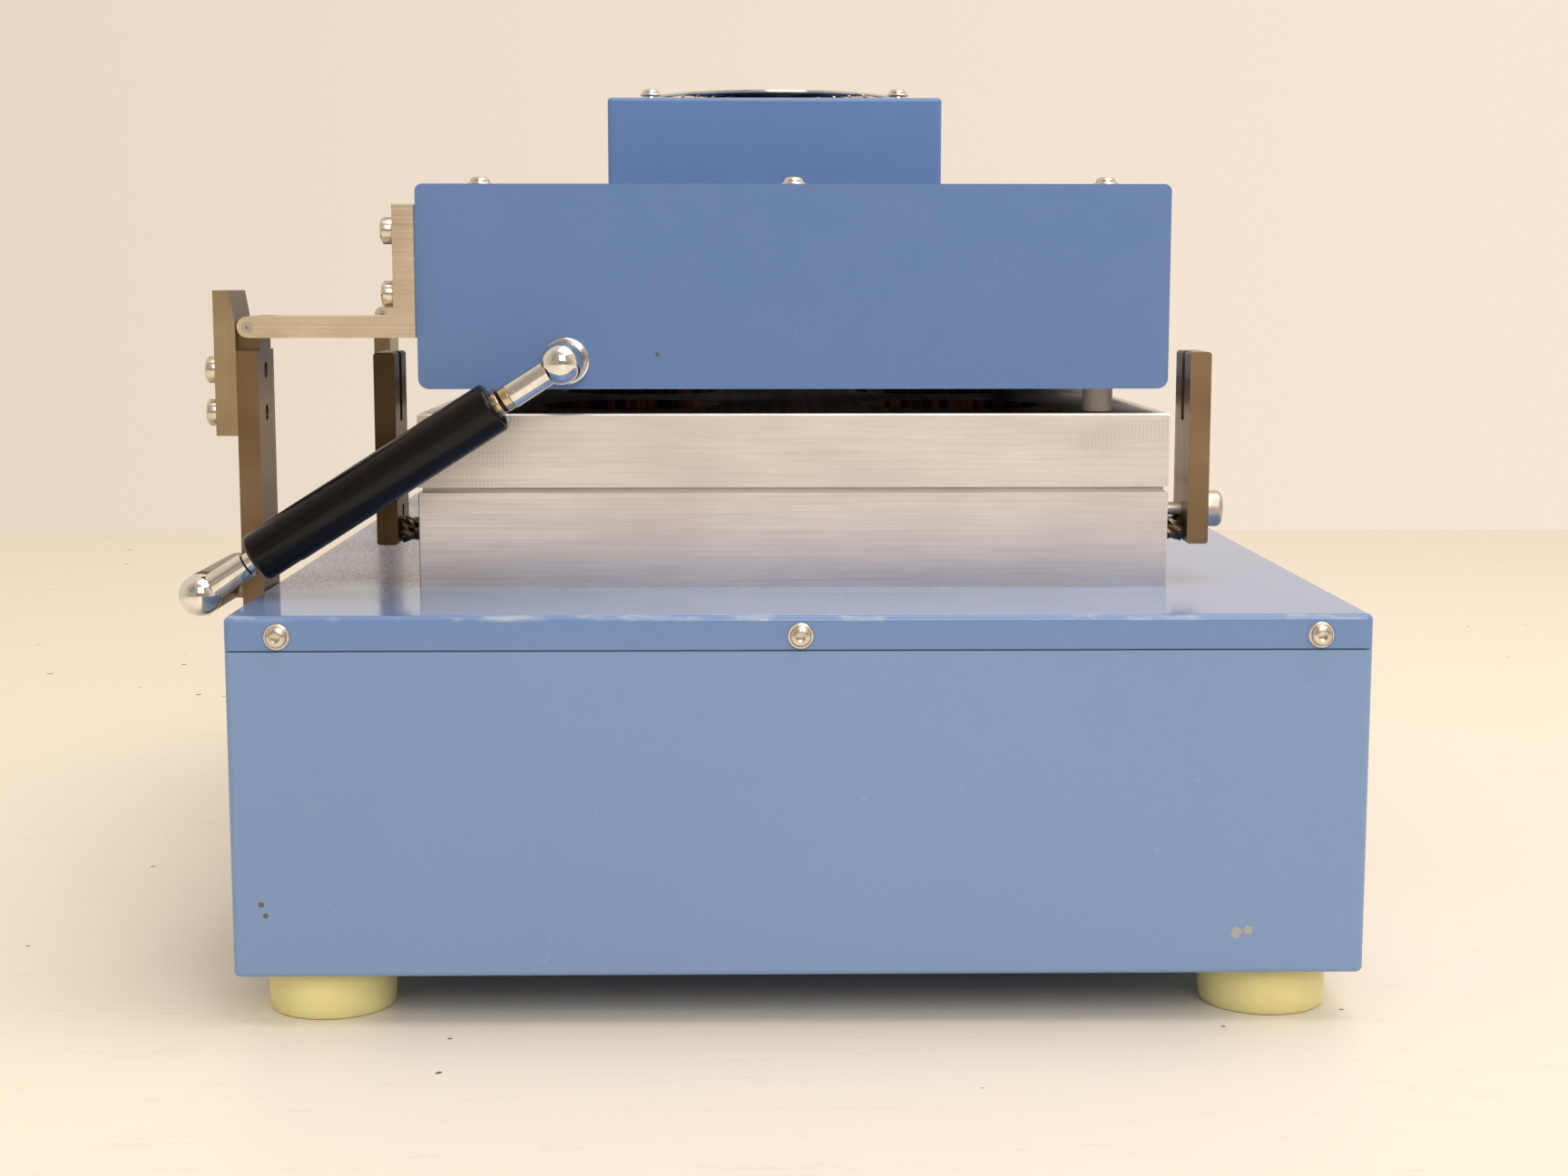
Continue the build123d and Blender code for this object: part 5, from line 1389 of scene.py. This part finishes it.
@dataclass
class FanCover:
    """The painted cover with the fan in its box, the wire guard and their screws."""

    screw_pitch: float = 117.5 * MM
    screw_setback: float = 10.0 * MM
    fan_pitch: float = 52.5 * MM
    wire: float = 0.9 * MM
    rings: tuple[float, ...] = (20.0 * MM, 29.0 * MM, 38.0 * MM, 47.0 * MM, 55.0 * MM)
    ring_rise: float = 3.7 * MM
    leg_drop: float = 1.6 * MM
    eye_radius: float = 3.15 * MM
    blades: int = 7
    hub_radius: float = 21.0 * MM

    def __post_init__(self) -> None:
        """Takes the cover and the fan box from the frame."""
        self.low, self.high = (tuple(corner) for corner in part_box("cover_shell"))
        self.box_low, self.box_high = (tuple(corner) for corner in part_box("fan_box"))
        self.fan_x = (self.box_low[0] + self.box_high[0]) / 2

    def screws(self) -> None:
        """Screws along both ends of the cover and at the fan's corners."""
        middle = (self.low[0] + self.high[0]) / 2
        row = self.high[1] - self.screw_setback
        spots = [(middle + sx * self.screw_pitch, sy * row) for sx in (-1, 0, 1) for sy in (-1, 1)]
        screw = FlangedScrew(reach=6.0 * MM)
        Piece("cover_screws_formed", "cover", "bright_screws", SCREW_STEEL, ("cover_screws",)).make(
            [screw.grid(Stand((x, y, self.high[2]))) for x, y in spots]
        )
        corners = [
            (self.fan_x + sx * self.fan_pitch, sy * self.fan_pitch)
            for sx in (-1, 1)
            for sy in (-1, 1)
        ]
        fan_screw = FlangedScrew(reach=19.0 * MM)
        level = self.box_high[2] + 2 * self.wire
        Piece("guard_screws_formed", "cover", "bright_screws", SCREW_STEEL, ("guard_screws",)).make(
            [fan_screw.grid(Stand((x, y, level))) for x, y in corners]
        )

    def guard(self) -> None:
        """Round wire rings on four legs that dip to an eye under each screw.

        A leg's height falls from the rings' underside to the box along a raised cosine.
        """
        level, reach = self.box_high[2], math.sqrt(2) * self.fan_pitch
        ring_level = level + self.ring_rise
        turn = np.arange(96) * TURN / 96
        flat = np.full(96, ring_level)
        grids = []
        for ring in self.rings:
            path = np.stack([self.fan_x + ring * np.cos(turn), ring * np.sin(turn), flat], axis=1)
            grids.append(swept(path, self.wire, 10, joined=True))
        along = np.linspace(0, 1, 40)
        radius = self.rings[0] - 3 * MM + along * (reach - 3.2 * MM - self.rings[0] + 3 * MM)
        fall = 0.5 * (1 - np.cos(TURN / 2 * np.clip((radius - self.rings[-1]) / (11 * MM), 0, 1)))
        leg_level = ring_level - self.leg_drop
        height = leg_level - fall * (leg_level - level - self.wire)
        small = np.arange(28) * TURN / 28
        for angle in TURN / 8 + np.arange(4) * TURN / 4:
            across = np.array([math.cos(angle), math.sin(angle)])
            leg = np.stack([self.fan_x + radius * across[0], radius * across[1], height], axis=1)
            grids.append(swept(leg, self.wire, 10))
            eye = np.stack([
                self.fan_x + reach * across[0] + self.eye_radius * np.cos(small),
                reach * across[1] + self.eye_radius * np.sin(small),
                np.full(28, level + self.wire),
            ], axis=1)
            grids.append(swept(eye, self.wire, 10, joined=True))
        Piece(
            "finger_guard_wire", "cover", "guard_wire", WIRE_CHROME, ("finger_guard",)
        ).make(grids)

    def rotor(self) -> None:
        """A domed hub and seven cambered blades.

        Along a blade the section's angle grows with the span, its chord runs round the hub and
        rises with it, and its thickness is half a sine between its edges.
        """
        low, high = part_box("fan_rotor")
        foot, top, tip = low[2], high[2], (high[0] - low[0]) / 2
        deep = top - foot
        corners = [(0.0, 0.0), (self.hub_radius, 0.0), (self.hub_radius, deep), (0.0, deep)]
        hub = turned(Stand((self.fan_x, 0.0, foot)), softened(corners, 2.4 * MM), 64)
        span = np.linspace(0, 1, 14)[:, None]
        loop = np.arange(28) * TURN / 28
        chord, thick = np.cos(loop)[None, :], np.sin(loop)[None, :]
        root = self.hub_radius - 1.0 * MM
        radius = root + span * (tip - root) + 0 * chord
        turn_by = 0.16 * span + 0.37 * chord * (1 + 0.12 * span)
        half_rise = 0.44 * deep
        camber = (1 - chord**2) * 2.2 * MM
        slope = half_rise * chord * (0.96 - 0.2 * span)
        rise = (foot + top) / 2 + slope + camber + 0.9 * MM * thick
        grids = [hub]
        for number in range(self.blades):
            angle = turn_by + number * TURN / self.blades
            places = [self.fan_x + radius * np.cos(angle), radius * np.sin(angle), rise]
            points = np.stack(places, axis=-1)
            shut = [
                np.broadcast_to(end.mean(axis=1, keepdims=True), end.shape)
                for end in (points[:1], points[-1:])
            ]
            grids.append(Grid(np.concatenate([shut[0], points, shut[1]])))
        Piece(
            "fan_rotor_bladed", "fan_rotor", "panel_dark", FAN_PLASTIC, ("fan_rotor",), 50.0
        ).make(grids)

    def build(self) -> None:
        """Makes the pieces and finishes the painted boxes."""
        self.screws()
        self.guard()
        self.rotor()
        finish_nodes({
            "cover_shell": BLUE_COVER,
            "fan_box": BLUE_FAN_BOX,
            "fan_frame": FAN_PLASTIC,
        })


@dataclass
class GasStrut:
    """The strut's turned parts, laid along the line from the lower ball to the upper one."""

    collar_start: float = 129.3 * MM
    collar_end: float = 135.8 * MM
    collar_radius: float = 4.6 * MM
    flange_radius: float = 8.8 * MM

    def __post_init__(self) -> None:
        """Takes the strut's line from its joints."""
        foot = tuple(joint("strut_swing")["pos_m"])
        self.stand = Stand(foot, tuple(joint("strut_slide")["axis"]))

    def collar(self) -> None:
        """A golden collar with two grooves at the tube's upper end."""
        start, end, radius = self.collar_start - 0.3 * MM, self.collar_end, self.collar_radius
        corners = [
            (0.0, start),
            (radius, start),
            (radius, start + 2.0 * MM),
            (radius - 0.5 * MM, start + 2.4 * MM),
            (radius - 0.5 * MM, start + 3.2 * MM),
            (radius, start + 3.6 * MM),
            (radius, end - 0.3 * MM),
            (radius - 0.4 * MM, end),
            (0.0, end),
        ]
        Piece("strut_collar", "strut_cylinder", "chrome_fittings", GOLD).make(
            [turned(self.stand, softened(corners, 0.25 * MM), 56)]
        )

    def flange(self) -> None:
        """The bright disc under the upper ball, dished between its rim and its boss."""
        low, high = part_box("strut_flange")
        middle = ((low[0] + high[0]) / 2, high[1], (low[2] + high[2]) / 2)
        thick, radius = high[1] - low[1], self.flange_radius
        corners = [
            (0.0, 0.0),
            (radius, 0.0),
            (radius, thick - 0.3 * MM),
            (radius - 0.5 * MM, thick),
            (radius - 1.4 * MM, thick),
            (radius - 2.0 * MM, thick - 0.7 * MM),
            (4.2 * MM, thick - 0.7 * MM),
            (3.6 * MM, thick),
            (0.0, thick),
        ]
        Piece("strut_flange_turned", "cover", "bright_screws", CHROME, ("strut_flange",)).make(
            [turned(Stand(middle, (0, -1, 0)), softened(corners, 0.25 * MM), 64)]
        )

    def build(self) -> None:
        """Makes the pieces and finishes the tube and its fittings."""
        self.collar()
        self.flange()
        finish_nodes({
            "strut_tube": TUBE_LACQUER,
            "strut_rod": CHROME,
            "strut_lower_socket": CHROME,
            "strut_upper_socket": CHROME,
            "strut_anchor": ANCHOR_STEEL,
        })


@dataclass
class Studio:
    """The bench top, the soft lights and the camera."""

    eye: Point = (-0.0188, -1.0750, 0.2623)
    pitch_deg: float = 7.45
    yaw_deg: float = 0.92
    lens: float = 54.17
    sensor: float = 36.0
    bench_far: float = 1.393
    bench_reach: float = 6.0
    room: Tone = tone(248, 230, 213)
    far_wall: Tone = tone(231, 216, 197)
    furniture: Tone = tone(150, 136, 124)

    def camera(self) -> None:
        """A level camera just above the cover, tipped down a little."""
        data = bpy.data.cameras.new("studio_camera")
        data.lens = self.lens
        data.sensor_width = self.sensor
        data.clip_start, data.clip_end = 0.01, 50.0
        made = bpy.data.objects.new("studio_camera", data)
        made.location = self.eye
        tilt, turn = math.radians(90 - self.pitch_deg), math.radians(-self.yaw_deg)
        made.rotation_euler = (tilt, 0.0, turn)
        bpy.context.scene.collection.objects.link(made)
        bpy.context.scene.camera = made

    def bench(self) -> None:
        """A plain pale bench top."""
        r, far = self.bench_reach, self.bench_far
        mesh = bpy.data.meshes.new("bench_top")
        mesh.from_pydata([(-r, -r, 0), (r, -r, 0), (r, far, 0), (-r, far, 0)], [], [(0, 1, 2, 3)])
        mesh.materials.append(BenchTop("bench_laminate").material())
        made = bpy.data.objects.new("bench_top", mesh)
        bpy.context.scene.collection.objects.link(made)

    def sky(self) -> None:
        """A warm room all round, dimmer behind the camera where its furniture stands."""
        world = bpy.data.worlds.new("room")
        world.use_nodes = True
        nodes = NodeBoard(world.node_tree)
        way = nodes.node("ShaderNodeTexCoord").outputs["Generated"]
        split = nodes.node("ShaderNodeSeparateXYZ")
        nodes.feed(split.inputs[0], way)
        clutter = nodes.node("ShaderNodeTexNoise")
        clutter.inputs["Scale"].default_value = 3.2
        clutter.inputs["Detail"].default_value = 1.0
        nodes.feed(clutter.inputs["Vector"], way)
        behind = nodes.span(split.outputs["Y"], -0.75, 0.1, 1.0, 0.0)
        patches = nodes.span(clutter.outputs["Fac"], 0.42, 0.6, 0.6, 1.0)
        beside = nodes.span(split.outputs["X"], -0.34, 0.3, 1.0, 0.0)
        walls = nodes.blend(beside, self.room, self.far_wall)
        share = nodes.sum("MULTIPLY", behind, patches)
        back = world.node_tree.nodes["Background"]
        nodes.feed(back.inputs["Color"], nodes.blend(share, walls, self.furniture))
        back.inputs["Strength"].default_value = 1.0
        bpy.context.scene.world = world

    def lamp(
        self, name: str, place: Point, aim: Point, size: float, power: float, colour: Point
    ) -> None:
        """Hangs one soft square lamp.

        Args:
            name: the lamp's name.
            place: where it hangs.
            aim: the point that it faces.
            size: its side.
            power: its power in watts.
            colour: its linear colour.
        """
        data = bpy.data.lights.new(name, "AREA")
        data.size = size
        data.energy = power
        data.color = colour
        made = bpy.data.objects.new(name, data)
        way = np.array(aim) - np.array(place)
        made.location = place
        level = math.hypot(way[0], way[1])
        made.rotation_euler = (math.atan2(level, -way[2]), 0.0, math.atan2(-way[0], way[1]))
        bpy.context.scene.collection.objects.link(made)

    def build(self) -> None:
        """Sets the room, its lamps, the bench top and the camera."""
        bpy.context.scene.view_settings.view_transform = "Standard"
        self.sky()
        self.bench()
        self.lamp(
            "ceiling_lamp", place=(0.7, -0.4, 2.4), aim=(0.0, 0.0, 0.1),
            size=2.0, power=28.0, colour=(1.0, 0.98, 0.93),
        )
        self.lamp(
            "front_lamp", place=(0.6, -2.7, 1.9), aim=(0.0, -0.2, 0.1),
            size=1.6, power=36.0, colour=(1.0, 0.97, 0.93),
        )
        self.camera()


def main() -> None:
    """Builds the machine and its studio in order."""
    logging.basicConfig(level=logging.INFO, format="%(name)s: %(message)s")
    kinds = (Housing, Controls, Drive, BlockStack, GuideBars, Hinge, FanCover, GasStrut, Studio)
    for kind in kinds:
        log.info("building %s", kind.__name__)
        kind().build()


if __name__ == "__main__":
    main()
